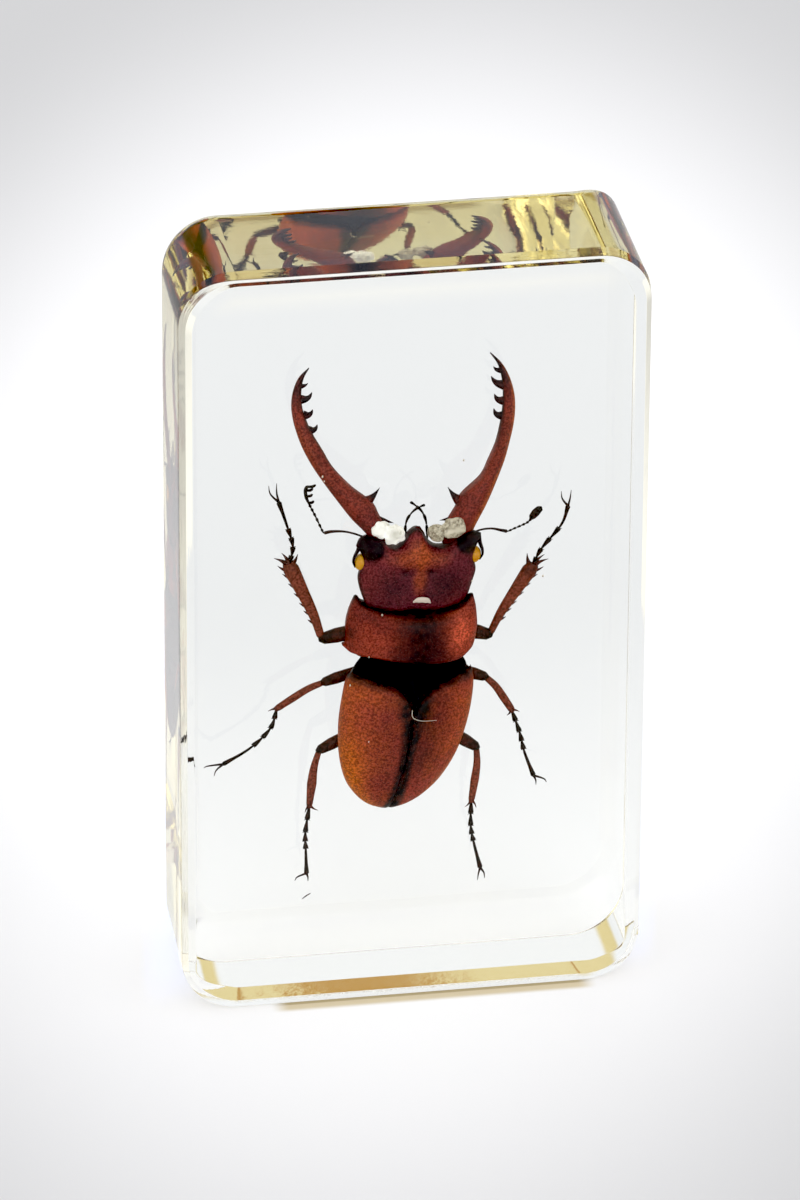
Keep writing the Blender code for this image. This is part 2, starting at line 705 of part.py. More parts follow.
def build_beetle(group, parts, material):
    """Every shape of the beetle, fused with the abdomen into one solid."""
    tilt = {"roll": BODY_ROLL, "shift": ABDOMEN_SHIFT, "slant": ABDOMEN_SLANT}
    beetle = trunk("stag_beetle", ABDOMEN, group, groove=SUTURE_DEPTH, **tilt)
    beetle.data.materials.append(material)
    trunk("waist", WAIST, parts, roll=BODY_ROLL)
    lump("scutellum", *SCUTELLUM, parts)
    trunk("pronotum", PRONOTUM, parts, roll=BODY_ROLL, shift=PRONOTUM_SHIFT)
    build_head(parts)
    for side in (-1, 1):
        for number, (centre, radii) in enumerate(COXAE):
            lump(f"coxa_{side}_{number}", mirrored(centre, side), radii, parts)
    for name, leg in LEGS.items():
        build_leg(name, leg, parts)
    for thing in parts.objects:
        make_cutter(thing)
        thing.matrix_world = beetle_place()
    beetle.matrix_world = beetle_place()
    boolean(beetle, "UNION", group=parts)


def main():
    clear_scene()
    group = new_collection("insect_in_resin_block")
    cutters = new_collection("cutters")
    parts = new_collection("beetle_shapes")
    resin = new_material("clear_resin", RESIN_COLOUR, 0.03, transmission=1.0, ior=RESIN_IOR)
    shell = new_material("beetle_shell", BEETLE_COLOUR, 0.35)
    build_beetle(group, parts, shell)
    build_resin(group, cutters, resin)


main()
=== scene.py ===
# Looks of the stag beetle in its clear resin block. Lengths are in millimetres (MM turns them into
# metres). The beetle's shapes are made in its own frame: x to the viewer's right, y into the block
# (its back is at -y), z towards its head. The block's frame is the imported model's.

import math
from functools import reduce

import bmesh
import bpy
import numpy as np
from mathutils import Matrix, Vector, noise


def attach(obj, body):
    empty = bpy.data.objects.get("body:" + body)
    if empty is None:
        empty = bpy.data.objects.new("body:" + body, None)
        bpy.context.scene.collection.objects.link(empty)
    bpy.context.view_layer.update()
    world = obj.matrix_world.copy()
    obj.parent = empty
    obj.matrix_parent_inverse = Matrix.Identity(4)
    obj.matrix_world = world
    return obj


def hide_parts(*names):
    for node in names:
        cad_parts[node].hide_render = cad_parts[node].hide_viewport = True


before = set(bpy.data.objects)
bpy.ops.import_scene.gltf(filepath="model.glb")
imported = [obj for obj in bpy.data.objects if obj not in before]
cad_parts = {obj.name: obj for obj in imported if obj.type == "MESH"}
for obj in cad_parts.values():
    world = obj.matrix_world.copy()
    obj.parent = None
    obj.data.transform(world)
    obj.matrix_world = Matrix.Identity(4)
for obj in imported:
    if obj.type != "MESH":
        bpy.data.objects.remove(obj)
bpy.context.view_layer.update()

MM = 0.001
BODY = "root"

# Resin block, as in the solids
BLOCK_WIDTH = 64.0
BLOCK_HEIGHT = 113.0
BLOCK_DEPTH = 24.5
CORNER_RADIUS = 7.8
SIDE_DRAFT = 0.3
BACK_RADIUS = 5.5
EDGE_DEPTH = 3.5
BACK_RADIUS_SHARP = 0.04  # at the base and the right
# The worn front edge, from the wall to the viewing face: (inset from the wall, depth behind the face).
EDGE_TOP = ((0.0, 2.9), (0.33, 0.9), (0.62, 0.6), (0.89, 0.0))
EDGE_LEFT = ((0.0, EDGE_DEPTH), (0.02, 2.2), (0.75, 0.75), (1.62, 0.0))
EDGE_LOW = ((0.0, EDGE_DEPTH), (0.1, 1.85), (1.75, 0.85), (4.35, 0.0))
EDGE_RIGHT = ((0.0, EDGE_DEPTH), (0.3, 1.6), (1.1, 0.75), (2.6, 0.0))
EDGE_FILLETS = (0.3, 0.3, 0.3, 0.4)
EDGE_FILLETS_TOP = (0.3, 0.3, 0.1, 0.12)
EDGE_LEAD = 0.8  # plain wall behind the edge's profile
EDGE_FACE = (2.2, 2.5)  # the flat face's first rings, past the edge's profile
WALL_END = 1.2  # how far behind the edge the evenly spaced rings of the wall end
WAVE = 0.035  # how far hand polishing leaves the top wall uneven
WAVE_SCALE = 0.11  # of its noise, per mm
WAVE_FADE = 2.0  # evens it out towards the viewing face
RESIN_IOR = 1.55
RESIN_TINT = (0.83, 0.75, 0.25)
RESIN_DENSITY = 10.0  # absorption per metre where the tint is black

# Beetle's place
BEETLE_DEPTH = 16.0
BEETLE_X = 0.77
BEETLE_Z = 53.41
BEETLE_LEAN = 4.55
BODY_ROLL = 12.0

# Camera
CAMERA_AIM = (-1.816, -9.2, 61.547)
CAMERA_AZIMUTH = 9.398
CAMERA_ELEVATION = 28.728
CAMERA_ROLL = 0.371
CAMERA_DISTANCE = 1266.9
LENS = 281.26  # mm, on a 36 mm long side
SENSOR_WIDTH = 36.0
CLIP_END = 20.0  # m

INWARD = (0.0, 1.0, 0.0)  # straight into the block


def beetle_place():
    middle = Vector((BEETLE_X, BEETLE_DEPTH - BLOCK_DEPTH / 2, BEETLE_Z)) * MM
    return Matrix.Translation(middle) @ Matrix.Rotation(math.radians(BEETLE_LEAN), 4, "Y")


# Shapes
def smooth(points, count):
    """count points on a Catmull-Rom curve through the given ones, evenly spaced from one to the next."""
    p = np.asarray(points, float)
    ends = np.vstack([2 * p[0] - p[1], p, 2 * p[-1] - p[-2]])
    along = np.linspace(0, len(p) - 1, count)
    i = np.minimum(along.astype(int), len(p) - 2)
    t = (along - i)[:, None]
    a, b, c, d = ends[i], ends[i + 1], ends[i + 2], ends[i + 3]
    return 0.5 * (2 * b + (c - a) * t + (2 * a - 5 * b + 4 * c - d) * t**2 + (3 * b - a - 3 * c + d) * t**3)


def ease(value):
    """Smooth step from 0 to 1 over the value's range 0 to 1."""
    t = np.clip(value, 0.0, 1.0)
    return t * t * (3 - 2 * t)


def spot(x, z, centre, radii):
    """1 at a place on the body, falling softly to 0 at the given radii."""
    far = np.sqrt(((x - centre[0]) / radii[0]) ** 2 + ((z - centre[1]) / radii[1]) ** 2)
    return 1 - ease(far)


def rise(value, start, reach):
    """0 up to the start, then softly up to 1 at the reach past it."""
    return ease((value - start) / reach)


def fall(value, start, reach):
    return 1 - rise(value, start, reach)


def bell(value, centre, width):
    return np.exp(-(((value - centre) / width) ** 2))


def hump(x, z, centre, radii):
    """A bell over a place on the body."""
    return np.exp(-(((x - centre[0]) / radii[0]) ** 2 + ((z - centre[1]) / radii[1]) ** 2))


def plateau(share, power):
    """1 in the middle of the shares, down to 0 at both ends, and flatter the higher the power."""
    return np.maximum(1 - np.abs(2 * share - 1) ** power, 0)


def most(*tones):
    return reduce(np.maximum, tones)


def axes(rows, columns, low=0.0):
    """Shares from 0 to 1 along a plate, as a column, and from low to 1 across it, as a row."""
    return np.linspace(0, 1, rows)[:, None], np.linspace(low, 1, columns)[None, :]


def circle(sides, power=1.0):
    """Cosines and sines round a ring, which is squarer where the power is below 1."""
    angle = np.linspace(0, 2 * math.pi, sides, endpoint=False)
    return [np.sign(way) * np.abs(way) ** power for way in (np.cos(angle), np.sin(angle))]


def unit(vector):
    return vector / np.linalg.norm(vector)


def quads(numbers):
    """The faces of a grid of vertices, from their numbers."""
    n = numbers
    return np.stack([n[:-1, :-1], n[:-1, 1:], n[1:, 1:], n[1:, :-1]], axis=-1).reshape(-1, 4)


class Shape:
    """Vertices (n, 3), faces, and how dark and how golden each vertex is."""

    def __init__(self, verts, faces, dark=0.0, gold=0.0):
        self.verts = np.asarray(verts, float)
        self.faces = faces
        self.dark = np.broadcast_to(dark, len(self.verts))
        self.gold = np.broadcast_to(gold, len(self.verts))

    def turned(self, degrees):
        """Rolled about the body's length."""
        c, s = math.cos(math.radians(degrees)), math.sin(math.radians(degrees))
        x, y = self.verts[:, 0], self.verts[:, 1]
        self.verts[:, 0], self.verts[:, 1] = x * c - y * s, x * s + y * c
        return self

    def moved(self, axis, way):
        self.verts[:, axis] += way
        return self


def loft(rings, dark=0.0, gold=0.0):
    """A closed skin over rings of points (rings, points, 3), with a fan at each end."""
    rings = np.asarray(rings, float)
    count, size = rings.shape[:2]
    ends = rings[0].mean(0), rings[-1].mean(0)
    numbers = np.arange(count * size).reshape(count, size)
    numbers = np.hstack([numbers, numbers[:, :1]])
    faces = quads(numbers).tolist()
    first, last = numbers[0].tolist(), numbers[-1].tolist()
    for i in range(size):
        faces.append((count * size, first[i + 1], first[i]))
        faces.append((count * size + 1, last[i], last[i + 1]))
    verts = np.vstack([rings.reshape(-1, 3), *ends])
    return Shape(verts, faces, spread(dark, count, size), spread(gold, count, size))


def spread(value, count, size):
    """A tone given once, per ring or per vertex of a loft, as one per vertex with its two end points."""
    value = np.asarray(value, float)
    if value.ndim == 0:
        return value
    if value.ndim == 1:
        value = np.repeat(value[:, None], size, axis=1)
    flat = value.reshape(-1)
    return np.concatenate([flat, [value[0].mean(), value[-1].mean()]])


def tube(path, wide, deep=None, sides=16, dark=0.0, gold=0.0, square=2.0):
    """A limb along a path. wide is its radius across the path in the body's plane, deep the other."""
    path = np.asarray(path, float)
    wide = np.broadcast_to(wide, len(path))
    deep = wide if deep is None else np.broadcast_to(deep, len(path))
    along = np.gradient(path, axis=0)
    along /= np.linalg.norm(along, axis=1)[:, None]
    across = np.cross(along, INWARD)
    across /= np.maximum(np.linalg.norm(across, axis=1), 1e-6)[:, None]
    other = np.cross(across, along)
    c, s = circle(sides, 2 / square)
    ring = across[:, None] * (wide[:, None] * c)[..., None]
    ring = ring + other[:, None] * (deep[:, None] * s)[..., None]
    return loft(path[:, None] + ring, dark, gold)


def profile(shares, values, steps):
    """Values at even steps along a limb, given at a few shares of its length."""
    return np.interp(np.linspace(0, 1, steps), shares, values)


def limb(path, shares, sizes, sides, dark=0.0, flat=1.0):
    """A tube with its radii given at a few shares of its length. flat is its depth by its width."""
    wide = profile(shares, sizes, len(path))
    return tube(path, wide, wide * flat, sides, dark)


THORN_TIP = 0.035  # radius


def thorn(root, tip, radius, bend=0.0, dark=1.0, sides=10, steps=11, sharp=1.7):
    """A curved thorn whose root flares. bend moves its middle sideways, as a share of its length."""
    root, tip = np.asarray(root, float), np.asarray(tip, float)
    t = np.linspace(0, 1, steps)
    side = np.cross(tip - root, INWARD)
    path = root + (tip - root) * t[:, None] + side * (bend * np.sin(math.pi * t))[:, None]
    width = radius * (0.25 * (1 - t) + 0.75 * (1 - t) ** sharp) + THORN_TIP
    return tube(path, width, width * 0.8, sides, np.broadcast_to(dark, steps))


def ball(centre, radii, dark=0.0, rings=18, sides=28, rough=0.0, seed=0.0):
    """A closed egg shape, with its skin made uneven by rough (mm)."""
    turn = np.linspace(0, math.pi, rings + 2)[1:-1, None]
    c, s = circle(sides)
    ways = np.stack([np.sin(turn) * c, np.sin(turn) * s, np.cos(turn) + 0 * c], axis=-1)
    points = np.asarray(centre) + ways * np.asarray(radii)
    if rough:
        for point, way in zip(points.reshape(-1, 3), ways.reshape(-1, 3)):
            point += way * rough * noise.noise(Vector(point) * 1.4 + Vector((seed, 0, 0)))
    return loft(points, dark)


def shell(x, z, top, bottom, dark=0.0, gold=0.0):
    """A closed plate over a grid (rows, columns) of places: its back at -top, its belly at +bottom.
    The two meet along the grid's rim, at the back's height."""
    rows, columns = x.shape
    numbers = np.arange(x.size).reshape(x.shape)
    under = numbers.copy()
    inner = under[1:-1, 1:-1]
    inner[:] = x.size + np.arange(inner.size).reshape(inner.shape)
    upper = np.stack([x, -top, z], axis=-1).reshape(-1, 3)
    lower = np.stack([x, bottom, z], axis=-1)[1:-1, 1:-1].reshape(-1, 3)
    faces = np.stack([quads(numbers), quads(under)[:, ::-1]], axis=1).reshape(-1, 4).tolist()
    tones = []
    for tone in (dark, gold):
        tone = np.broadcast_to(tone, x.shape)
        tones.append(np.concatenate([tone.reshape(-1), tone[1:-1, 1:-1].reshape(-1)]))
    return Shape(np.vstack([upper, lower]), faces, *tones)


def patch(front, rear, left, right, columns, rows):
    """A Coons patch: grids of x and z (rear row first, left column first) between four edges."""
    front, rear = by_x(front, columns), by_x(rear, columns)
    left, right = smooth(left, rows), smooth(right, rows)
    s = (1 - np.cos(np.linspace(0, math.pi, columns))) / 2
    even = np.linspace(0, 1, columns)
    front, rear = (
        np.stack([np.interp(s, even, line[:, k]) for k in (0, 1)], axis=1) for line in (front, rear)
    )
    s = s[None, :, None]
    t = np.linspace(0, 1, rows)[:, None, None]
    grid = (1 - t) * rear[None] + t * front[None] + (1 - s) * left[:, None] + s * right[:, None]
    grid -= (1 - s) * (1 - t) * rear[0] + s * (1 - t) * rear[-1] + (1 - s) * t * front[0] + s * t * front[-1]
    return grid[..., 0], grid[..., 1], s[..., 0] + 0 * t[..., 0], t[..., 0] + 0 * s[..., 0]


def by_x(points, columns):
    """An edge as places evenly spaced in x."""
    fine = smooth(points, 400)
    x = np.linspace(fine[0, 0], fine[-1, 0], columns)
    return np.stack([x, np.interp(x, np.maximum.accumulate(fine[:, 0]), fine[:, 1])], axis=1)


# Pieces
def new_object(name, data):
    thing = bpy.data.objects.new(name, data)
    bpy.context.scene.collection.objects.link(thing)
    return thing


def piece(name, shapes, material, place, stands_for=("stag_beetle",), crease=50.0):
    faces, start = [], 0
    for shape in shapes:
        faces += [tuple(i + start for i in face) for face in shape.faces]
        start += len(shape.verts)
    mesh = bpy.data.meshes.new(name)
    mesh.from_pydata((np.vstack([shape.verts for shape in shapes]) * MM).tolist(), [], faces)
    for word in ("dark", "gold"):
        tones = np.concatenate([getattr(shape, word) for shape in shapes])
        mesh.attributes.new(word, "FLOAT", "POINT").data.foreach_set("value", tones.astype(np.float32))
    bm = bmesh.new()
    bm.from_mesh(mesh)
    bmesh.ops.recalc_face_normals(bm, faces=bm.faces)
    bm.to_mesh(mesh)
    bm.free()
    mesh.shade_smooth()
    mesh.set_sharp_from_angle(angle=math.radians(crease))
    mesh.materials.append(material)
    thing = new_object(name, mesh)
    thing.matrix_world = place
    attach(thing, BODY)
    if stands_for:
        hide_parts(*stands_for)
    return thing


# Materials
class Nodes:
    """Short ways to add and join the nodes of a material or a world."""

    def __init__(self, owner):
        owner.use_nodes = True
        self.owner = owner
        self.tree = owner.node_tree

    def add(self, kind, inputs=(), **settings):
        node = self.tree.nodes.new(kind)
        for key, value in settings.items():
            setattr(node, key, value)
        for key, value in dict(inputs).items():
            self.set(node.inputs[key], value)
        return node

    def set(self, socket, value):
        if isinstance(value, bpy.types.NodeSocket):
            self.tree.links.new(value, socket)
        elif socket.type == "RGBA" and len(value) == 3:
            socket.default_value = (*value, 1)
        else:
            socket.default_value = value

    def shade(self, **values):
        shader = self.tree.nodes["Principled BSDF"]
        for key, value in values.items():
            self.set(shader.inputs[key.replace("_", " ")], value)

    def coordinates(self, kind="Object"):
        return self.add("ShaderNodeTexCoord").outputs[kind]

    def split(self, vector):
        return self.add("ShaderNodeSeparateXYZ", {0: vector}).outputs

    def noise(self, scale, detail=3.0, roughness=0.55, stretch=None):
        """Noise with scale features per mm."""
        where = self.coordinates()
        if stretch:
            where = self.add("ShaderNodeMapping", {"Vector": where, "Scale": stretch}).outputs[0]
        values = {"Vector": where, "Scale": scale / MM, "Detail": detail, "Roughness": roughness}
        return self.add("ShaderNodeTexNoise", values).outputs["Fac"]

    def cells(self, scale):
        """Distance to the nearest of scattered points, scale of them per mm."""
        values = {"Vector": self.coordinates(), "Scale": scale / MM}
        return self.add("ShaderNodeTexVoronoi", values).outputs[0]

    def ramp(self, value, low, high, start=0.0, end=1.0):
        values = {"Value": value, "From Min": low, "From Max": high, "To Min": start, "To Max": end}
        return self.add("ShaderNodeMapRange", values, interpolation_type="SMOOTHSTEP").outputs[0]

    def drop(self, value, low, high):
        return self.ramp(value, low, high, 1.0, 0.0)

    def window(self, value, low, lower, upper, high):
        """1 from lower to upper, and 0 up to low and from high on."""
        return self.times(self.ramp(value, low, lower), self.drop(value, upper, high))

    def mix(self, share, first, second, way="MIX"):
        values = {0: share, 6: first, 7: second}  # these sockets are its factor and its two colours
        return self.add("ShaderNodeMix", values, data_type="RGBA", blend_type=way).outputs[2]

    def math(self, way, first, second=0.0, **settings):
        return self.add("ShaderNodeMath", {0: first, 1: second}, operation=way, **settings).outputs[0]

    def times(self, first, second):
        return self.math("MULTIPLY", first, second)

    def tone(self, name):
        return self.add("ShaderNodeAttribute", attribute_name=name).outputs["Fac"]

    def bump(self, height, distance, strength=1.0, below=None):
        values = {"Height": height, "Distance": distance * MM, "Strength": strength}
        if below is not None:
            values["Normal"] = below
        return self.add("ShaderNodeBump", values).outputs[0]


def material_nodes(name):
    return Nodes(bpy.data.materials.new(name))


WOBBLE = 0.14  # how unevenly a dark area ends
GRAIN_DARK = 0.55
GRAIN_LIGHT = 1.25


def chitin(name, light, deep, gold, black, roughness=0.45, pits=3.2, gloss=0.25):
    """Dry beetle shell: two tones in soft clouds, a fine grain, pits, dark and golden areas."""
    n = material_nodes(name)
    clouds = n.ramp(n.noise(0.16, 4.0), 0.36, 0.64)
    colour = n.mix(clouds, deep, light)
    grain = n.ramp(n.noise(3.2, 2.0, 0.7), 0.36, 0.64)
    uneven = n.times(n.ramp(n.noise(0.7), 0.25, 0.75, 0.75, 1.25), n.tone("gold"))
    colour = n.mix(uneven, colour, gold)
    wobble = n.ramp(n.noise(1.1), 0.2, 0.8, -WOBBLE, WOBBLE)
    dark = n.tone("dark")
    edge = n.times(n.ramp(dark, 0.0, 0.4), wobble)
    colour = n.mix(n.math("ADD", dark, edge, use_clamp=True), colour, black)
    brighter = n.mix(1.0, colour, (GRAIN_LIGHT,) * 3, "MULTIPLY")
    colour = n.mix(grain, n.mix(GRAIN_DARK, colour, black), brighter)
    relief = n.bump(n.ramp(n.cells(pits), 0.05, 0.4), 0.02, 0.5)
    relief = n.bump(n.noise(1.5, 4.0), 0.05, 0.5, relief)
    rough = n.ramp(n.noise(1.0), 0.3, 0.7, roughness - 0.08, roughness + 0.1)
    n.shade(Base_Color=colour, Roughness=rough, Normal=relief, Specular_IOR_Level=gloss)
    return n.owner


def eye_material():
    n = material_nodes("amber_eye")
    clouds = n.ramp(n.noise(0.8), 0.35, 0.65)
    colour = n.mix(clouds, (0.78, 0.32, 0.02), (0.9, 0.5, 0.06))
    colour = n.mix(n.tone("dark"), colour, (0.03, 0.02, 0.02))
    n.shade(Base_Color=colour, Roughness=0.25, Normal=n.bump(n.cells(6.0), 0.015, 0.5))
    return n.owner


def air_material(name, pale, grey, cover, glow=0.12):
    """A thin film of air at the shell, mottled where it has crept; its silvery white is a painted
    reflection, brightened by a painted glow.
    """
    n = material_nodes(name)
    mottle = n.ramp(n.noise(1.9, 5.0, 0.7), 0.38, 0.62)
    patches = n.ramp(n.noise(0.45, 2.0), cover - 0.08, cover + 0.1)
    colour = n.mix(n.math("MAXIMUM", n.times(mottle, patches), n.tone("dark")), pale, grey)
    n.shade(Base_Color=colour, Roughness=0.3, Specular_IOR_Level=0.8)
    n.shade(Normal=n.bump(n.noise(2.2, 4.0), 0.08, 0.6))
    # painted light: the film glows by itself, standing in for the light it reflects
    n.shade(Emission_Color=colour, Emission_Strength=glow)
    return n.owner


def fibre_material():
    n = material_nodes("pale_fibre")
    n.shade(Base_Color=n.mix(n.noise(2.0), (0.8, 0.72, 0.68), (0.95, 0.92, 0.9)), Roughness=0.4)
    return n.owner


def resin_material():
    """Clear cast resin: glass-like, faintly yellow over long paths, with fine polishing marks."""
    n = material_nodes("clear_resin")
    lines = n.noise(0.35, 3.0, 0.6, stretch=(1.0, 5.0, 1.0))
    n.shade(Base_Color=(1, 1, 1), Roughness=0.0, Transmission_Weight=1.0, IOR=RESIN_IOR)
    n.shade(Normal=n.bump(n.times(lines, n.tone("dark")), 0.05, 0.6))
    volume = n.add("ShaderNodeVolumeAbsorption", {"Color": RESIN_TINT, "Density": RESIN_DENSITY})
    n.set(n.tree.nodes["Material Output"].inputs["Volume"], volume.outputs[0])
    return n.owner


# Making the resin block
CORNER_STEPS = 20
SIDE_STEPS = 30
BACK_STEPS = 16
WALL_STEPS = 13
WALL_FIRST = 0.005  # a first ring of the wall, close to the back edge
BACK_INSETS = (0.25, 0.06)  # the back face's rings, past the largest and past the local rounding
MARKS = 0.15  # how strong the polishing marks are on the faces
EDGE_MARKS = 0.6  # and on the worn edge, at these depths
EDGE_MARKS_DEPTHS = (0.6, 2.8)


def outline():
    """The block's outline: (x, z, outward x, outward z) round four corners and four sides."""
    half = BLOCK_WIDTH / 2 - CORNER_RADIUS
    low, high = CORNER_RADIUS, BLOCK_HEIGHT - CORNER_RADIUS
    points = []
    for cx, cz, start in ((half, low, -90), (half, high, 0), (-half, high, 90), (-half, low, 180)):
        for step in range(CORNER_STEPS + 1):
            angle = math.radians(start + 90 * step / CORNER_STEPS)
            out = np.array((math.cos(angle), math.sin(angle)))
            points.append((cx + CORNER_RADIUS * out[0], cz + CORNER_RADIUS * out[1], *out))
    result = []
    for i, point in enumerate(points):
        result.append(point)
        if i % (CORNER_STEPS + 1) == CORNER_STEPS:
            after = points[(i + 1) % len(points)]
            for step in range(1, SIDE_STEPS):
                share = step / SIDE_STEPS
                result.append(tuple(a + (b - a) * share for a, b in zip(point, after)))
    return np.array(result)


def filleted(corners, radii, steps=8):
    """A polyline with its inner corners rounded, each by its own radius."""
    points = [corners[0]]
    for i, radius in enumerate(radii, start=1):
        before, here, after = (Vector(c) for c in corners[i - 1 : i + 2])
        back, ahead = (before - here).normalized(), (after - here).normalized()
        half = back.angle(ahead) / 2
        reach = min(radius / math.tan(half), 0.45 * min((before - here).length, (after - here).length))
        start, end = here + back * reach, here + ahead * reach
        for step in range(steps + 1):
            t = step / steps
            points.append(tuple((1 - t) ** 2 * start + 2 * t * (1 - t) * here + t * t * end))
    return points + [corners[-1]]


def edge_rows(corners, fillets=EDGE_FILLETS):
    """The front edge's profile with its corners rounded, and a strip of the flat face."""
    last = corners[-1][0]
    line = [(0.0, EDGE_DEPTH + EDGE_LEAD), *corners, (last + EDGE_FACE[0], 0.0)]
    return np.array(filleted(line, fillets) + [(last + EDGE_FACE[1], 0.0)])


def build_block():
    front, back = -BLOCK_DEPTH / 2, BLOCK_DEPTH / 2
    edge = front + EDGE_DEPTH
    x, z, out_x, out_z = outline().T
    low = ease(-out_z)
    right = ease(out_x) * (1 - low)
    left = ease(-out_x) * (1 - low)

    def by_side(top, base, right_value, left_value):
        return top + (base - top) * low + (right_value - top) * right + (left_value - top) * left

    radius = by_side(BACK_RADIUS, BACK_RADIUS_SHARP, BACK_RADIUS_SHARP, BACK_RADIUS)
    rows = [(BACK_RADIUS + BACK_INSETS[0], back), (radius + BACK_INSETS[1], back)]
    for step in range(BACK_STEPS + 1):
        angle = math.radians(90 * step / BACK_STEPS)
        rows.append((radius * (1 - math.sin(angle)), back - radius * (1 - math.cos(angle))))
    start = back - radius
    for share in (WALL_FIRST, *np.linspace(0, 1, WALL_STEPS + 1)[1:]):
        rows.append((0.0, start + (edge + WALL_END - start) * share))
    marks = [MARKS] * len(rows)
    profiles = [edge_rows(EDGE_TOP, EDGE_FILLETS_TOP)]
    profiles += [edge_rows(corners) for corners in (EDGE_LOW, EDGE_RIGHT, EDGE_LEFT)]
    for corner in zip(*profiles):
        inset, depth = (by_side(*(point[k] for point in corner)) for k in (0, 1))
        rows.append((inset, front + depth))
        worn = EDGE_MARKS_DEPTHS[0] < np.mean(depth) < EDGE_MARKS_DEPTHS[1]
        marks.append(EDGE_MARKS if worn else MARKS)
    marks[-3:] = (0.0, 0.0, 0.0)
    rings = []
    for inset, y in rows:
        lean = np.maximum(0.0, (y - edge) / (back - edge))
        across = (x - out_x * inset) * (1 - 2 * SIDE_DRAFT / BLOCK_WIDTH * lean)
        high = (z - out_z * inset) * (1 - SIDE_DRAFT / BLOCK_HEIGHT * lean)
        ring = np.stack([across, y + 0 * x, high], axis=1)
        for point, out in zip(ring, zip(out_x, out_z)):
            place = Vector((point[0], point[1] * 1.6, point[2])) * WAVE_SCALE
            uneven = WAVE * (0.5 + 0.5 * noise.noise(place))
            uneven *= float(rise(point[1], front, WAVE_FADE) * ease(out[1]))
            point[0] -= out[0] * uneven
            point[2] -= out[1] * uneven
        rings.append(ring)
    block = loft(rings, np.array(marks))
    halves = ("resin_front", "resin_back")
    place = Matrix.Identity(4)
    return piece("resin_block", [block], resin_material(), place, stands_for=halves, crease=60.0)


# Trunk. A station is (z, middle x, half width, height of the back, depth of the belly).
WINGS = (
    (-5.4, 0.5, 8.3, 3.5, 3.3),
    (-7.0, 0.45, 9.0, 4.2, 3.6),
    (-9.5, 0.4, 9.3, 4.6, 3.8),
    (-14.0, 0.15, 9.25, 4.7, 3.8),
    (-19.0, -0.15, 8.45, 4.3, 3.5),
    (-23.0, -0.5, 6.9, 3.5, 2.9),
    (-25.6, -0.75, 4.9, 2.6, 2.2),
    (-27.1, -0.9, 2.9, 1.6, 1.4),
    (-27.9, -0.95, 0.7, 0.5, 0.5),
)
SUTURE_HALF = 0.3
SUTURE_GAP = 0.02


def station(z, column):
    """A column of WINGS at the heights z."""
    table = smooth(WINGS, 200)[::-1]
    return np.interp(z, table[:, 0], table[:, column])


def wing_case(side):
    """One wing case: a domed shell, rolled down at the suture and at its outer rim."""
    v, share = axes(120, 64)
    across = share + 0.03 * np.sin(2 * math.pi * share)
    edge = np.interp(across, (0, 0.06, 0.2, 0.45, 0.8, 1.0), (-10.6, -9.4, -7.6, -6.6, -6.0, -6.6))
    v = v + 0.02 * np.sin(2 * math.pi * v)
    z = edge + (WINGS[-1][0] + 0.15 - edge) * v
    wide, high, deep = (station(z, k) for k in (2, 3, 4))
    turn = across * math.radians(104)
    x = side * (wide * np.sin(turn) - 0.18 * rise(across, 0.9, 0.1)) + side * SUTURE_GAP
    back, belly_side = high * np.maximum(np.cos(turn), 0) ** 0.92, deep * np.cos(turn)
    up = np.where(turn < math.pi / 2, back, belly_side)
    from_front = np.clip((edge - z) / 1.5, 0, 1)
    up = up * (0.55 + 0.45 * np.sqrt(1 - (1 - from_front) ** 2))
    up = up - 0.42 * bell(x, 0.0, SUTURE_HALF) * np.minimum(1, high) + 0.12 * bell(across, 0.93, 0.03)
    low = rise(-z, 12, 14)
    # golden lighter areas, stronger low down: partly the shell's own colour, partly a painted highlight of
    # its soft sheen
    if side < 0:
        gold = rise(across, 0.25, 0.45) * (0.3 + 0.5 * low)
        inner = 0.35 * fall(across, 0.15, 0.35)
    else:
        gold = 0.75 * bell(across, 0.8, 0.22) * (0.3 + 0.7 * low)
        inner = 0.62 * fall(across, 0.1, 0.42) * rise(z, -27, 8)
    band = 0.6 + 0.45 * bell(z, -10.4, 2.6) + 0.4 * rise(z, -22, 12)  # width of the suture's dark band
    dark = most(
        0.98 * fall(np.abs(x), 0.9 * band, 2.1 * band),
        0.97 * fall(edge - z, 0, 2.3),
        0.5 * rise(across, 0.86, 0.14),
        inner,
    )
    gold = most(gold, 0.9 * rise(across, 0.955, 0.04) * low)
    bottom = most(np.minimum(-up + 0.45, deep), -up + 0.2)
    made = shell(x, z, up, bottom, dark, gold).turned(BODY_ROLL)
    return made.moved(0, station(made.verts[:, 2], 1))


def scutellum():
    """The small black plate between the wing cases' roots."""
    v, u = axes(30, 25, -1.0)
    z = -12.0 + 7.4 * v + 0 * u
    x = u * (0.16 + 2.9 * v**1.6)
    up = 3.5 + 0.75 * (1 - np.abs(u) ** 2.2) * np.minimum(1, 6 * (1 - v)) ** 0.5 + 0.6 * (1 - v) - 0.9 * v
    return shell(x, z, up, -up + 1.5, 1.0).turned(BODY_ROLL).moved(0, 0.45)


# Stations of the waist and the chin: (z, half width, height, depth)
WAIST = ((-9.0, 7.6, 3.2, 3.4), (-7.2, 8.2, 3.6, 3.6), (-5.6, 8.0, 3.5, 3.5), (-4.4, 7.3, 3.2, 3.4),
         (-3.0, 6.4, 2.6, 3.0))
CHIN = ((6.4, 1.0, 0.3, 0.3), (7.6, 3.2, 0.6, 0.8), (9.6, 3.6, 0.6, 1.0), (11.6, 3.0, 0.5, 0.8),
        (12.8, 1.4, 0.3, 0.3))


def waist():
    """The black neck of the hind body, between pronotum and wing cases."""
    return rounded_trunk(smooth(WAIST, 28), 0.4, 1.0, 56).turned(BODY_ROLL)


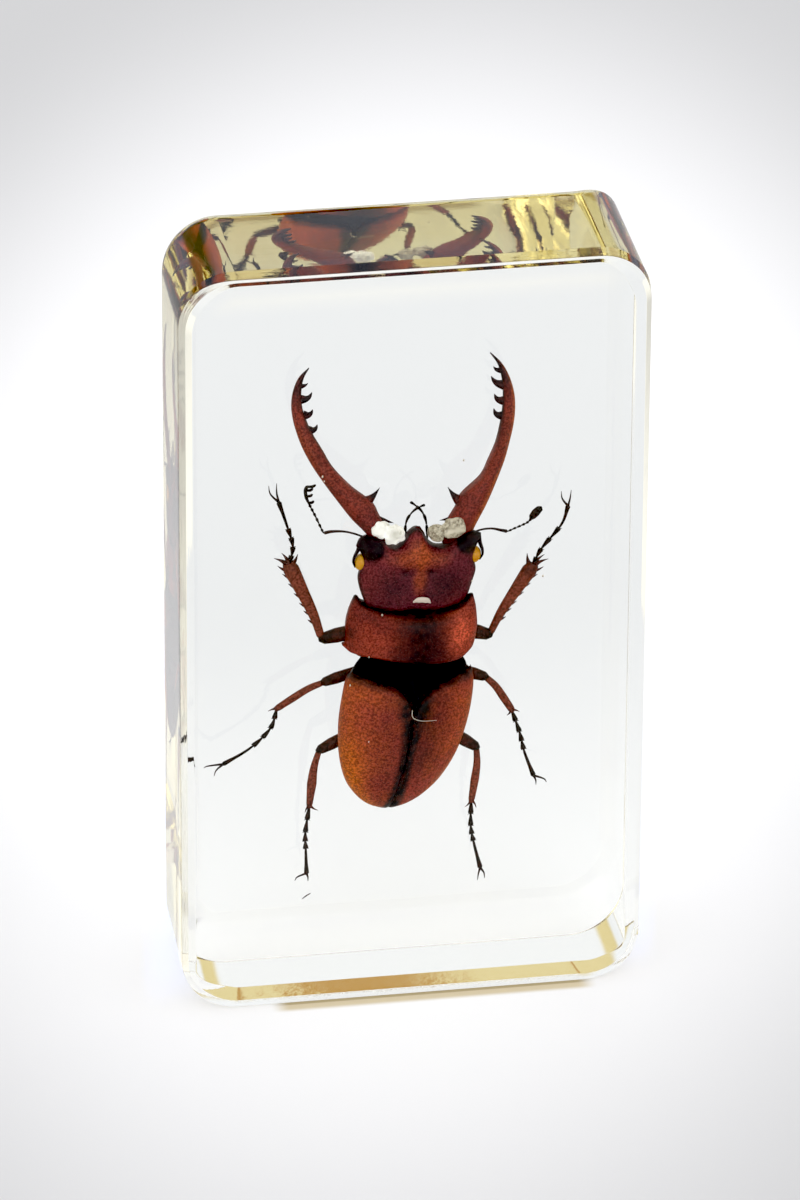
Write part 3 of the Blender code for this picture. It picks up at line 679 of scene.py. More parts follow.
def rounded_trunk(stations, middle, dark, sides):
    c, s = circle(sides)
    rings = []
    for z, wide, high, deep in stations:
        up = np.where(s > 0, high * np.abs(s) ** 0.9, -deep * np.abs(s) ** 0.8)
        rings.append(np.stack([middle + wide * c, -up, np.full(sides, z)], axis=1))
    return loft(rings, dark)


# Edges of pronotum and head: (x, z)
PRONOTUM_FRONT = ((-8.1, 4.9), (-7.7, 4.9), (-7.0, 4.2), (-4.0, 3.35), (0.0, 3.25), (4.0, 3.7), (6.6, 4.8),
                  (7.4, 5.8), (7.9, 6.0))
PRONOTUM_REAR = ((-7.6, -3.7), (-6.6, -4.25), (-3.4, -4.15), (0.7, -4.4), (4.1, -4.2), (6.4, -3.7),
                 (7.9, -2.6))
PRONOTUM_LEFT = ((-7.6, -3.7), (-8.2, -3.1), (-9.2, -2.8), (-8.8, -2.2), (-9.0, 0.4), (-8.75, 2.6),
                 (-8.1, 4.9))
PRONOTUM_RIGHT = ((7.9, -2.6), (8.45, -2.2), (8.75, -1.0), (8.9, 1.0), (8.7, 2.8), (8.4, 4.4), (7.9, 6.0))
PRONOTUM_DENTS = (((-4.6, 0.3), (1.6, 1.2), 0.18), ((6.2, 0.6), (1.4, 1.1), 0.16))


def pronotum():
    x, z, s, t = patch(PRONOTUM_FRONT, PRONOTUM_REAR, PRONOTUM_LEFT, PRONOTUM_RIGHT, 110, 70)
    side, length = plateau(s, 2.3), plateau(t, 5)
    dome = side**0.62 * length**0.4
    up = 0.5 + 3.85 * dome
    rim = bell(t, 0.955, 0.016) + bell(t, 0.035, 0.016)
    up = up + 0.07 * rim * side - 0.16 * bell(x, 0.9, 0.5) * dome
    for centre, radii, depth in PRONOTUM_DENTS:
        up = up - depth * hump(x, z, centre, radii)
    dark = most(
        0.96 * fall(np.abs(x - 1.3), 0, 4.8) ** 0.5,
        # dark front rim: its black hair band, with painted shade where the head sits over it
        0.95 * rise(t, 0.93, 0.05),
        0.75 * fall(t, 0, 0.1),
        0.5 * spot(x, z, (-8.3, -0.6), (1.3, 1.5)),
    )
    gold = 0.25 * spot(x, z, (-5.6, -1.2), (4.2, 4.4)) + 0.85 * spot(x, z, (6.4, 0.6), (3.4, 5.0))
    gold = np.clip(gold, 0, 1) * rise(np.minimum(s, 1 - s), 0, 0.02)
    bottom = 0.2 + 3.4 * side**0.5 * length**0.5
    roll = math.tan(math.radians(BODY_ROLL)) * x * 0.75
    return shell(x, z, up + roll, bottom - roll, dark, gold)


HEAD_FRONT = ((-8.7, 12.9), (-8.35, 13.9), (-7.5, 14.45), (-5.8, 14.25), (-4.8, 13.6), (-3.9, 12.95),
              (-3.0, 12.9), (-2.3, 13.6), (-1.7, 14.9), (-0.8, 15.7), (0.0, 15.5), (0.8, 14.3),
              (1.7, 13.3), (2.8, 13.0), (4.0, 13.4), (5.0, 14.3), (5.9, 15.1), (7.0, 15.3), (8.4, 14.9))
HEAD_REAR = ((-6.5, 3.7), (-5.2, 3.2), (-2.1, 2.9), (1.3, 3.1), (4.1, 3.3), (6.0, 3.7), (7.2, 4.7))
HEAD_LEFT = ((-6.5, 3.7), (-7.1, 4.9), (-7.75, 6.6), (-8.05, 8.2), (-7.75, 9.8), (-7.75, 11.4),
             (-8.7, 12.9))
HEAD_RIGHT = ((7.2, 4.7), (7.45, 5.9), (7.8, 7.6), (8.1, 9.4), (7.75, 11.0), (7.8, 12.8), (8.4, 14.9))
DIMPLES = ((-1.9, 9.5), (1.7, 9.6))
KNOBS = ((-6.8, 12.7), (6.8, 13.8))  # the raised black corners in front of the eyes


def head():
    x, z, s, t = patch(HEAD_FRONT, HEAD_REAR, HEAD_LEFT, HEAD_RIGHT, 130, 110)
    side, length = plateau(s, 2.6), plateau(t, 4.5)
    up = 0.3 + 2.75 * side**0.5 * length**0.45
    up = up + 0.35 * hump(x, z, (0.0, 11.6), (4.5, 1.3))
    for cx, cz in DIMPLES:
        up = up - 0.42 * hump(x, z, (cx, cz), (0.75, 0.6))
        up = up - 0.25 * hump(x, z, (cx * 1.6, cz - 1.4), (1.6, 1.8))
    for centre in KNOBS:
        up = up + 0.9 * hump(x, z, centre, (1.35, 1.2))
    knobs = most(*(spot(x, z, (cx, cz + 0.2), (2.9, 2.8)) for cx, cz in KNOBS))
    dark = most(
        ease(knobs * 2.2),
        0.9 * fall(1 - t, 0, 0.05),
        0.85 * fall(t, 0.04, 0.14),
        0.5 * spot(x, z, (-3.6, 7.0), (4.8, 4.4)) + 0.68 * spot(x, z, (4.0, 7.2), (4.6, 4.6)),
        # painted shade in the dimples
        *(0.72 * spot(x, z, centre, (1.1, 0.9)) for centre in DIMPLES),
        0.7 * fall(np.minimum(s, 1 - s), 0, 0.04),
    )
    gold = 0.85 * spot(x, z, (0.0, 11.6), (5.6, 2.1)) + 0.7 * spot(x, z, (0.0, 13.2), (2.4, 2.4))
    gold = gold + 0.7 * spot(x, z, (0.3, 8.4), (1.5, 3.6))
    gold = np.clip(gold, 0, 0.95) * rise(1 - t, 0, 0.1)
    return shell(x, z, up, 0.1 + 2.9 * side**0.5 * length**0.5, dark, gold)


EYE_HEIGHTS = {-1: 10.3, 1: 11.5}
EYE_SUNK = 7.4  # from here inward an eye is dark
EYE_BAR = ((8.1, 0.0, 3.0), (8.35, -0.2, 1.9), (8.75, -0.3, 0.9), (8.85, -0.3, 0.1), (8.55, -0.2, -0.7))


def eye(side):
    globe = ball((7.75 * side, 0.1, EYE_HEIGHTS[side]), (0.95, 1.35, 1.25), rings=24, sides=36)
    globe.dark = (np.abs(globe.verts[:, 0]) < EYE_SUNK) * 1.0
    return globe


def eye_bar(side):
    """The thin black bar that crosses an eye from the front."""
    path = smooth([(side * x, y, EYE_HEIGHTS[side] + z) for x, y, z in EYE_BAR], 26)
    return tube(path, np.linspace(0.34, 0.1, 26), np.linspace(0.5, 0.25, 26), 12, 1.0)


# Mandibles: (x, z) from root to tip
LEFT_OUTER = ((-6.4, 11.6), (-7.2, 14.2), (-9.6, 16.8), (-11.5, 19.2), (-13.7, 22.1), (-15.7, 25.0),
              (-17.2, 27.7), (-18.3, 30.4), (-18.9, 32.5), (-19.15, 34.4), (-19.0, 36.4), (-18.4, 38.2),
              (-17.2, 39.7))
LEFT_INNER = ((-3.6, 12.6), (-4.3, 14.9), (-5.8, 17.4), (-6.9, 19.3), (-9.8, 21.6), (-12.6, 24.5),
              (-14.3, 27.2), (-15.8, 29.6), (-16.8, 31.6), (-17.6, 33.8), (-17.9, 36.3), (-17.7, 38.2),
              (-17.1, 39.6))
RIGHT_OUTER = ((6.9, 12.6), (7.4, 15.3), (8.8, 19.0), (9.9, 22.6), (10.75, 26.0), (11.2, 28.8),
               (11.5, 31.3), (11.55, 33.5), (11.3, 35.7), (10.7, 37.7), (9.9, 39.4), (8.9, 40.8),
               (7.5, 42.1))
RIGHT_INNER = ((3.2, 13.2), (3.2, 15.6), (4.5, 18.6), (5.1, 20.5), (7.4, 23.0), (8.4, 25.6), (9.2, 28.2),
               (9.6, 31.0), (9.75, 33.6), (9.65, 36.0), (9.3, 38.2), (8.6, 40.3), (7.4, 42.0))
# Teeth: (root x, z), (tip x, z), radius at the root, bend. Those before MAIN_TOOTH are small and blunt.
LEFT_TEETH = (
    ((-17.95, 36.9), (-17.1, 37.35), 0.32, -0.1),
    ((-17.9, 34.9), (-16.45, 36.0), 0.62, -0.22),
    ((-17.3, 32.5), (-16.15, 33.4), 0.62, -0.25),
    ((-16.4, 30.2), (-15.35, 31.1), 0.6, -0.25),
    ((-9.2, 18.5), (-6.05, 21.5), 1.9, -0.1),
    ((-5.9, 16.4), (-3.7, 16.1), 0.85, 0.05),
)
RIGHT_TEETH = (
    ((9.1, 39.4), (8.05, 39.95), 0.4, 0.15),
    ((9.7, 37.2), (7.85, 38.5), 0.66, 0.15),
    ((10.0, 34.8), (8.5, 35.8), 0.66, 0.2),
    ((10.0, 32.5), (8.6, 33.6), 0.62, 0.22),
    ((6.9, 18.7), (3.3, 21.6), 1.9, 0.1),
    ((5.0, 16.6), (2.6, 16.5), 0.9, -0.05),
)

MAIN_TOOTH = 4
MANDIBLE_ROOT = (7.3, 15.0)
MANDIBLE_LENGTH = 27.0
MANDIBLE_DROP = 4.2
DROP_WAY = np.array((0.098, 1.0, -0.328))  # keeps its shape as it is seen through the viewing face
MANDIBLE_LEVEL = 0.6


def bent(side, points):
    """Points (n, 3) of a mandible, bent towards the belly side, more so further from its root."""
    points = np.asarray(points, float)
    reach = np.hypot(points[..., 0] - side * MANDIBLE_ROOT[0], points[..., 2] - MANDIBLE_ROOT[1])
    drop = MANDIBLE_DROP * (reach / MANDIBLE_LENGTH) ** 1.6
    return points + drop[..., None] * DROP_WAY


def mandible(side):
    """A squarish blade between its two edges, and its teeth."""
    left, right = (LEFT_OUTER, LEFT_INNER, LEFT_TEETH), (RIGHT_OUTER, RIGHT_INNER, RIGHT_TEETH)
    outer, inner, teeth = left if side < 0 else right
    steps, sides = 150, 36
    outer, inner = smooth(outer, steps), smooth(inner, steps)
    half = np.linalg.norm(outer - inner, axis=1) / 2
    deep = np.minimum(0.72 * half + 0.22, 1.75) * np.minimum(1, half / 0.25) ** 0.5
    c, s = circle(sides, 0.85)
    share = (1 + c) / 2  # 1 at the outer edge
    flat = inner[:, None] + (outer - inner)[:, None] * share[None, :, None]
    depth = MANDIBLE_LEVEL + deep[:, None] * s * (1 + 0.16 * bell(share, 0.62, 0.16))
    rings = bent(side, np.stack([flat[..., 0], depth, flat[..., 1]], axis=-1))
    along = np.linspace(0, 1, steps)[:, None]
    dark = most(
        rise(along, 0.62, 0.26) * (0.62 + 0.38 * (1 - share)),
        0.92 * rise(along, 0.86, 0.1),
        0.85 * (fall(share, 0, 0.3) * rise(along, 0.42, 0.25)),
        0.5 * fall(along, 0.06, 0.06),
    )
    rim = rise(share, 0.72, 0.25) if side > 0 else 0.25 * rise(share, 0.9, 0.1)
    gold = rim * (1 - 0.6 * rise(along, 0.9, 0.1)) + 0.3 * bell(along, 0.5, 0.15) * share
    shapes = [loft(rings, dark, np.clip(gold, 0, 1))]
    for number, (root, point, radius, bend) in enumerate(teeth):
        base = 0.0 if number == MAIN_TOOTH else 0.9
        tone = base + (1 - base) * ease(np.linspace(-0.5, 1.5, 13))
        ends = [(x, MANDIBLE_LEVEL, z) for x, z in (root, point)]
        wider, sharp = (1.12, 0.9) if number < MAIN_TOOTH else (1.0, 1.7)
        tooth = thorn(*ends, radius * wider, bend, tone, sides=14, steps=13, sharp=sharp)
        tooth.verts = bent(side, tooth.verts)
        shapes.append(tooth)
    return shapes


# Feelers and palps. An antenna's scape, flagellum and club are (x, z), a palp is (x, y, z).
ANTENNA_LEVEL = 0.6
ANTENNA_LEFT = (
    ((-6.6, 13.2), (-8.0, 14.1), (-10.1, 14.75), (-12.0, 14.8), (-13.2, 14.55)),
    ((-13.2, 14.55), (-13.75, 15.6), (-14.4, 16.9), (-15.0, 18.0), (-15.5, 18.9)),
    ((-15.5, 18.9), (-16.0, 20.0), (-16.2, 21.1), (-15.95, 21.8)),
)
ANTENNA_RIGHT = (
    ((6.6, 14.2), (8.2, 15.0), (9.8, 15.25), (11.2, 15.0), (12.15, 14.8)),
    ((12.15, 14.8), (13.0, 15.25), (13.9, 15.7), (14.7, 16.15), (15.2, 16.7)),
    ((15.1, 16.6), (15.5, 17.3), (16.0, 18.0), (16.5, 18.6)),
)
PALPS = (
    ((-1.8, 0.9, 13.4), (-2.0, 0.8, 15.4), (-1.8, 0.7, 16.8), (-1.1, 0.5, 18.0), (-0.2, 0.4, 18.7),
     (0.4, 0.4, 18.95)),
    ((1.2, 0.9, 13.4), (0.95, 0.9, 15.4), (0.6, 0.9, 16.8), (-0.1, 0.8, 18.0), (-1.1, 0.7, 18.9),
     (-1.7, 0.7, 19.3)),
)


def part_of(fine, start, end, count):
    """Points of a fine curve between two shares of its length."""
    return fine[(np.linspace(start, end, count) * (len(fine) - 1)).round().astype(int)]


def beads(route, count, thin, thick, grow=1.0):
    """A chain of small joints, each thin at its root and wide near its end."""
    fine = smooth(route, 400)
    shapes = []
    for number in range(count):
        path = part_of(fine, number / count, (number + 0.96) / count, 12)
        size = thick * (1 + (grow - 1) * number / (count - 1))
        sizes = (thin, thin * 1.1, size, size * 0.8, thin)
        shapes.append(limb(path, (0, 0.15, 0.72, 0.93, 1), sizes, 12, 1.0, 0.85))
    return shapes


def antenna(side):
    routes = ANTENNA_LEFT if side < 0 else ANTENNA_RIGHT
    scape, flagellum, club = ([(x, ANTENNA_LEVEL, z) for x, z in route] for route in routes)
    sizes = (0.1, 0.14, 0.15, 0.24, 0.26, 0.08)
    shapes = [limb(smooth(scape, 48), (0, 0.1, 0.5, 0.85, 0.96, 1), sizes, 14, 0.92)]
    shapes += beads(flagellum, 6, 0.09, 0.19, grow=1.2)
    path = smooth(club, 24)
    if side > 0:
        shapes.append(limb(path, (0, 0.2, 0.5, 0.85, 1), (0.15, 0.5, 0.62, 0.5, 0.12), 18, 1.0, 0.7))
        for share in (0.3, 0.55, 0.78):
            at = path[int(share * 23)]
            shapes.append(ball(at + (0.1, -0.1, 0.0), (0.5, 0.42, 0.2), 1.0, rings=10, sides=16))
        return shapes
    shapes.append(limb(path, (0, 0.3, 0.9, 1), (0.12, 0.24, 0.26, 0.1), 12, 1.0))
    for number, share in enumerate((0.12, 0.4, 0.68, 0.95)):
        at = path[int(share * 23)]
        reach = 0.75 + 0.15 * number
        leaf = smooth((at, at + (reach * 0.6, 0, 0.02), at + (reach, 0, 0.3)), 12)
        shapes.append(limb(leaf, (0, 0.5, 0.85, 1), (0.16, 0.2, 0.17, 0.05), 12, 1.0, 2.0))
    return shapes


# Legs. Each has its hip, knee and tibia's end (x, y, z), its femur's half width and its tibia's three,
# then the foot's route past the tibia and its claws' tips (x, z), its spurs' tips (x, y, z) and how many
# spines the tibia has.
LEGS = {
    "front_left": (
        (-2.8, 3.0, -0.4), (-12.0, 1.8, -2.1), (-17.6, 1.5, 9.7), 1.12, (0.55, 0.86, 1.12),
        ((-17.15, 12.2), (-18.2, 15.4), (-19.7, 19.2)), ((-21.2, 21.5), (-20.1, 21.8)),
        ((-19.6, 1.5, 10.4), (-18.6, 1.5, 11.2), (-16.35, 1.7, 11.0)), 7,
    ),
    "front_right": (
        (2.8, 3.0, -0.2), (11.2, 1.8, -1.5), (16.3, 1.5, 9.5), 1.08, (0.5, 0.84, 1.1),
        ((17.2, 11.9), (19.6, 15.6), (20.3, 18.6)), ((19.1, 20.7), (20.5, 20.8)),
        ((18.3, 1.5, 10.3), (17.7, 1.5, 11.0), (15.3, 1.7, 11.1)), 7,
    ),
    "middle_left": (
        (-3.2, 3.2, -6.6), (-11.2, 2.2, -9.0), (-17.6, 2.0, -13.2), 0.88, (0.46, 0.56, 0.5),
        ((-18.0, -16.1), (-20.6, -19.2), (-24.3, -21.8)), ((-26.7, -22.2), (-25.2, -23.6)),
        ((-18.5, 2.0, -13.4), (-17.4, 2.2, -14.2)), 0,
    ),
    "middle_right": (
        (3.2, 3.2, -6.4), (11.3, 2.2, -8.2), (15.6, 2.0, -13.6), 0.9, (0.46, 0.56, 0.5),
        ((16.8, -16.8), (17.8, -20.0), (19.5, -23.9)), ((21.3, -24.7), (19.9, -25.2)),
        ((16.5, 2.0, -13.6), (14.8, 2.0, -14.2)), 0,
    ),
    "hind_left": (
        (-3.4, 3.0, -15.6), (-10.9, 2.2, -19.6), (-11.6, 2.0, -28.6), 0.92, (0.42, 0.68, 0.46),
        ((-11.8, -32.5), (-11.5, -35.5), (-11.1, -39.2)), ((-12.7, -40.1), (-10.8, -40.3)),
        ((-10.3, 2.0, -29.0), (-12.1, 2.1, -29.4)), 0,
    ),
    "hind_right": (
        (3.4, 3.0, -15.0), (11.0, 2.2, -19.2), (11.0, 2.0, -27.9), 0.92, (0.42, 0.6, 0.46),
        ((11.3, -31.6), (12.0, -34.4), (13.3, -38.5)), ((13.0, -40.2), (14.0, -40.0)),
        ((11.8, 2.0, -28.7), (10.2, 2.0, -28.6)), 0,
    ),
}
CLAW_LEVELS = (-0.1, 0.2)
# A foot's joints end at these shares of it. Their radii are given at shares of a joint.
TOE_ENDS = (0.17, 0.33, 0.48, 0.62, 1.0)
TOE = ((0, 0.2, 0.6, 0.9, 1), (0.15, 0.19, 0.32, 0.41, 0.16))
LAST_TOE = ((0, 0.1, 0.6, 0.92, 1), (0.15, 0.18, 0.24, 0.36, 0.13))


def leg(hip, knee, end, thigh, shin, route, claws, spurs, spines):
    hip, knee, end = (np.array(place) for place in (hip, knee, end))
    away = np.sign(knee[0])
    thin, middle, thick = shin
    # femur: a flattened club that narrows just before the knee
    past = knee + unit(knee - hip) * 0.45
    bow = (hip + past) / 2 + (0, -0.3, 0.25)
    wide = profile((0, 0.08, 0.35, 0.75, 0.93, 1), (0.3, 0.75, 0.95, 1.0, 0.78, 0.3), 44) * thigh
    tone = profile((0, 0.75, 0.9, 1), (0.72, 0.74, 0.92, 0.97), 44)
    shapes = [tube(smooth((hip, bow, past), 44), wide, wide * 0.8, 22, tone, square=2.3)]
    # tibia: bent a little, wider towards its end
    chord = end - knee
    side = np.cross(chord, INWARD) / np.linalg.norm(chord) * 0.3 * away
    path = smooth((knee, knee + chord * 0.3 + side, knee + chord * 0.65 + side * 0.6, end), 52)
    wide = profile((0, 0.05, 0.2, 0.6, 0.92, 1), (0.3, thin, thin * 1.1, middle, thick, thick * 0.72), 52)
    tone = profile((0, 0.08, 0.85, 1), (0.85, 0.2, 0.12, 0.5), 52)
    shapes.append(tube(path, wide, wide * 0.75, 20, tone, 0.12, square=2.5))
    root = end + (knee - end) * 0.05
    shapes += [thorn(root, tip, thick * 0.5, 0.08 * away, 0.7, sharp=1.3) for tip in spurs]
    for number in range(spines):
        share = 0.24 + 0.68 * number / (spines - 1)
        at = path[int(share * 51)]
        reach = wide[int(share * 51)] + 0.5 + 0.45 * share
        tip = at + (away * reach, 0.0, 0.35 * reach)
        shapes.append(thorn(at, tip, 0.4 + 0.1 * share, -0.1 * away, 0.7, sharp=1.2))
    return shapes + foot(route, claws, end, knee)


def foot(route, claws, end, knee):
    """Four short joints with a pair of bristles each, a long one and two claws."""
    level = end[1]
    root = end + unit(knee - end) * 0.35
    fine = smooth((root, *((x, level, z) for x, z in route)), 500)
    shapes, start = [], 0.0
    for stop in TOE_ENDS:
        path = part_of(fine, start, stop, 26)
        last = stop == TOE_ENDS[-1]
        shapes.append(limb(path, *(LAST_TOE if last else TOE), 14, 0.97, 0.85))
        if not last:
            tip = path[-3]
            out = unit(np.cross(path[-1] - path[-4], INWARD)) * 0.42
            for way in (-1, 1):
                bristle = path[-1] + out * way + (path[-1] - tip) * 0.4
                shapes.append(thorn(tip, bristle, 0.13, 0, 0.95, 6, 5))
        start = stop
    root = fine[-12]
    for (x, z), lift in zip(claws, CLAW_LEVELS):
        tip = np.array((x, level + lift, z))
        bow = (root + tip) / 2 + (0.28 * (x - root[0]), 0.0, 0.0)
        shapes.append(limb(smooth((root, bow, tip), 20), (0, 0.3, 1), (0.19, 0.14, 0.035), 10, 0.93))
    return shapes


# Underside. A hip's ball: place (mirrored to both sides), radii, tone, rings, sides.
SEAMS = (-25.0, -22.8, -20.7, -18.6, -16.3)
HIPS = (
    ((2.5, 3.2, 0.0), (2.7, 1.7, 1.5), 0.75, 22, 30),
    ((3.0, 3.3, -7.4), (2.6, 1.6, 1.6), 0.75, 22, 30),
    ((3.8, 2.9, -15.2), (4.4, 1.3, 1.3), 0.7, 22, 30),
    ((4.6, 3.4, -0.6), (1.0, 0.9, 0.9), 0.85, 18, 28),
    ((5.0, 3.3, -7.6), (1.0, 0.9, 0.9), 0.85, 18, 28),
)
LIP = ((-0.3, -0.6, 13.6), (-0.4, -0.5, 14.8), (-0.4, -0.3, 15.9))


def belly():
    """Hind breast and five plates of the abdomen, each a little over the next."""
    v, u = axes(130, 70, -1.0)
    z = -27.2 + 21.4 * v + 0 * u
    half = (station(z, 2) - 0.55) * np.minimum(1, (v + 0.02) / 0.05) ** 0.5
    turn = u * math.pi / 2
    x = half * np.sin(turn)
    deep = station(z, 4) * np.maximum(np.cos(turn), 0) ** 0.75
    dark = 0.45 + 0.25 * np.abs(u) + 0 * z
    for seam in SEAMS:
        bowed = seam + 0.5 * u**2
        step = np.clip((z - bowed) / 2.1, 0, 1)
        deep = deep - 0.16 * np.where(step < 1, step, 0) * (z > bowed)
        dark = most(dark, 0.85 * bell(z, bowed, 0.16))
    deep = deep - 0.2 * bell(x, 0.0, 0.2) * (z > -15.5)
    made = shell(x, z, 0.6 + 0 * deep, np.maximum(deep, -0.3), dark)
    return made.moved(0, station(made.verts[:, 2], 1)).turned(BODY_ROLL * 0.6)


def hips():
    """The rounded first joints of the legs, under the body."""
    return [
        ball((x * side, y, z), radii, tone, rings, sides)
        for side in (-1, 1)
        for (x, y, z), radii, tone, rings, sides in HIPS
    ]


def mouth():
    """Chin plate and lip under the head."""
    chin = rounded_trunk(smooth(CHIN, 24), 0.0, 0.8, 32).moved(1, 2.7)
    wide, deep = (profile((0, 0.6, 1), sizes, 16) for sizes in ((1.3, 0.9, 0.25), (0.8, 0.5, 0.15)))
    return [chin, tube(smooth(LIP, 16), wide, deep, 20, 0.75, 0.2)]


# Inclusions. An air lump: centre, radii, seed of its roughness. A speck: x, y, z, size.
AIR_LEFT = (((-5.6, -2.0, 15.9), (1.35, 0.75, 1.25), 3.0), ((-3.8, -2.2, 15.2), (1.45, 0.85, 1.5), 8.0))
AIR_RIGHT = (((2.1, -2.1, 15.5), (1.25, 0.8, 1.35), 14.0), ((4.3, -2.2, 16.2), (1.65, 0.8, 1.55), 21.0))
AIR_ROUGH = 0.34
AIR_NECK = ((-0.4, -3.3, 5.2), (0.1, -3.5, 5.5), (0.8, -3.55, 5.6), (1.5, -3.5, 5.45), (1.9, -3.3, 5.1))
FIBRE = ((0.7, -4.85, -11.1), (0.75, -5.0, -12.0), (1.3, -5.05, -12.5), (2.4, -5.0, -12.75),
         (4.2, -4.8, -12.7))
SPECKS = ((-4.7, -4.5, 3.6, 0.13), (4.6, -3.4, 26.9, 0.11), (-8.2, -4.2, -7.4, 0.12),
          (-5.0, -5.2, -15.9, 0.09), (7.4, -3.2, 8.4, 0.1), (-13.9, -0.8, 22.9, 0.1),
          (-14.2, -0.9, 23.6, 0.14), (17.5, -0.6, 8.3, 0.12), (-6.0, -4.6, -2.9, 0.1))
CRUMB = ((-11.5, 1.2, -42.8), (-11.0, 1.2, -42.3), (-10.4, 1.2, -41.9))


def build_inclusions(place, crumb_material):
    def add(name, shapes, material):
        piece(name, shapes, material, place, stands_for=())

    white = air_material("air_film_white", (0.94, 0.96, 1.0), (0.5, 0.5, 0.47), 0.54, 0.35)
    grey = air_material("air_film_grey", (0.72, 0.68, 0.6), (0.24, 0.2, 0.15), 0.42)
    left, right = (
        [ball(centre, radii, rings=30, sides=44, rough=AIR_ROUGH, seed=s) for centre, radii, s in lumps]
        for lumps in (AIR_LEFT, AIR_RIGHT)
    )
    # painted shade: the left film's second lobe is greyer in its middle
    left[1].dark = 0.8 * spot(left[1].verts[:, 0], left[1].verts[:, 2], (-3.7, 15.4), (1.3, 1.3))
    add("air_film_left", left, white)
    add("air_film_right", right, grey)
    wide = profile((0, 0.3, 0.7, 1), (0.12, 0.42, 0.42, 0.1), 30)
    neck = air_material("air_film_neck", (0.72, 0.64, 0.62), (0.5, 0.42, 0.4), 0.5)
    add("air_film_neck", [tube(smooth(AIR_NECK, 30), wide, 0.2, 16)], neck)
    fibre = limb(smooth(FIBRE, 60), (0, 0.4, 1), (0.05, 0.052, 0.025), 8)
    specks = [
        ball((x, y, z), (size, size, size * 1.4), rings=8, sides=12, rough=size * 0.5, seed=x)
        for x, y, z, size in SPECKS
    ]
    add("pale_fibre", [fibre, *specks], fibre_material())
    add("loose_crumb", [limb(smooth(CRUMB, 14), (0, 0.5, 1), (0.05, 0.1, 0.06), 8, 0.9)], crumb_material)


# Shell colours: light tone, deep tone, golden areas (on the wing cases partly a painted highlight), dark
# areas
SHELLS = {
    "wing_case": ((0.49, 0.092, 0.038), (0.41, 0.067, 0.05), (0.75, 0.2, 0.014), (0.008, 0.006, 0.009)),
    "pronotum": ((0.31, 0.05, 0.034), (0.2, 0.032, 0.03), (0.84, 0.15, 0.085), (0.012, 0.002, 0.005)),
    "head": ((0.23, 0.042, 0.052), (0.15, 0.028, 0.045), (0.54, 0.108, 0.038), (0.01, 0.006, 0.012)),
    "mandible": ((0.31, 0.058, 0.047), (0.19, 0.04, 0.042), (0.52, 0.125, 0.04), (0.02, 0.014, 0.02)),
    "leg": ((0.31, 0.075, 0.06), (0.19, 0.042, 0.04), (0.5, 0.19, 0.08), (0.016, 0.013, 0.012)),
    "black": ((0.0125, 0.013, 0.017),) * 4,
    "underside": ((0.11, 0.045, 0.04), (0.06, 0.03, 0.032), (0.2, 0.07, 0.04), (0.004, 0.0035, 0.0055)),
}
FINISHES = {
    "mandible": {"pits": 2.4},
    "leg": {"pits": 2.4},
    "black": {"roughness": 0.7, "pits": 0.8, "gloss": 0.03},
}


def build_beetle():
    place = beetle_place()
    shells = {
        word: chitin(word + "_shell", *tones, **FINISHES.get(word, {})) for word, tones in SHELLS.items()
    }

    def add(name, shapes, material):
        piece(name, shapes, material, place)

    for side, word in ((-1, "left"), (1, "right")):
        add("wing_case_" + word, [wing_case(side)], shells["wing_case"])
        add("mandible_" + word, mandible(side), shells["mandible"])
        add("eye_" + word, [eye(side)], eye_material())
        add("antenna_" + word, antenna(side), shells["leg"])
    add("scutellum", [scutellum()], shells["black"])
    add("waist", [waist()], shells["black"])
    add("pronotum", [pronotum()], shells["pronotum"])
    add("head", [head(), eye_bar(-1), eye_bar(1), *mouth()], shells["head"])
    add("palps", [bead for route in PALPS for bead in beads(route, 4, 0.12, 0.22)], shells["leg"])
    for name, parts in LEGS.items():
        add("leg_" + name, leg(*parts), shells["leg"])
    add("underside", [belly(), *hips()], shells["underside"])
    build_inclusions(place, shells["leg"])


# Stage, light and camera
FLOOR_RADIUS = 3.0
FLOOR_GAP = 0.05  # keeps the floor clear of the base, which would turn black on it
# The floor's tones are painted light: a pool of light round the block that fades to grey further off.
FLOOR_NEAR = (0.925,) * 3
FLOOR_FAR = (0.525,) * 3
FLOOR_CLOSE = (0.835, 0.864, 0.985)  # painted shade right behind the block, darkening the floor where the block gathers light
FLOOR_BEHIND = (0.865, 0.895, 1.01)  # as the viewing face shows it, near the block
FLOOR_BEYOND = (0.71, 0.74, 0.835)  # and further behind
FLOOR_TOUCH = (0.6, 0.52, 0.37)  # in the contact shadow of the front edge
FLOOR_GLOW = 0.74
FLOOR_CENTRE = 0.112
FLOOR_SQUEEZE = 0.48
SIGHT_SLOPE = 0.1655  # sideways run of the line of sight over the floor
BEHIND_ASIDE = (0.033, 0.037)  # m, fading limits of the stretch behind the block
BEHIND_REACH = (-0.01, 0.004, 0.205, 0.225)
# Contact shadow of the front edge, in millimetres: its middle, its half size and, in y, its dark line
TOUCH_PLACE = (3.0, -10.7)
TOUCH_HALF = (20.0, 0.9)
TOUCH_FADE = (3.0, 1.2)
TOUCH_LINE = (-10.9, -10.6)
TOUCH_DARK = (0.42, 0.35, 0.22)
WORLD_COLOUR = (1.0, 1.0, 1.04)
WORLD_BEHIND = (0.85, 0.89, 1.02)
WORLD_STRENGTH = 1.05
FRONT_GAIN = 1.3  # how much brighter the light is in front and above
BAND_HEIGHTS = (0.12, 0.2, 0.36, 0.44)  # sines of the heights at which the brown band sets in and ends
BAND_COLOUR = (0.7, 0.6, 0.31)
POST_SLOPES = (0.133, 0.1395, 0.148, 0.158)  # a darker post in the band, by its sideways slope
POST_COLOUR = (0.45, 0.24, 0.025)
BLACK_LEVEL = 0.0475
BOUNCES = 40
SHORT_BOUNCES = 16


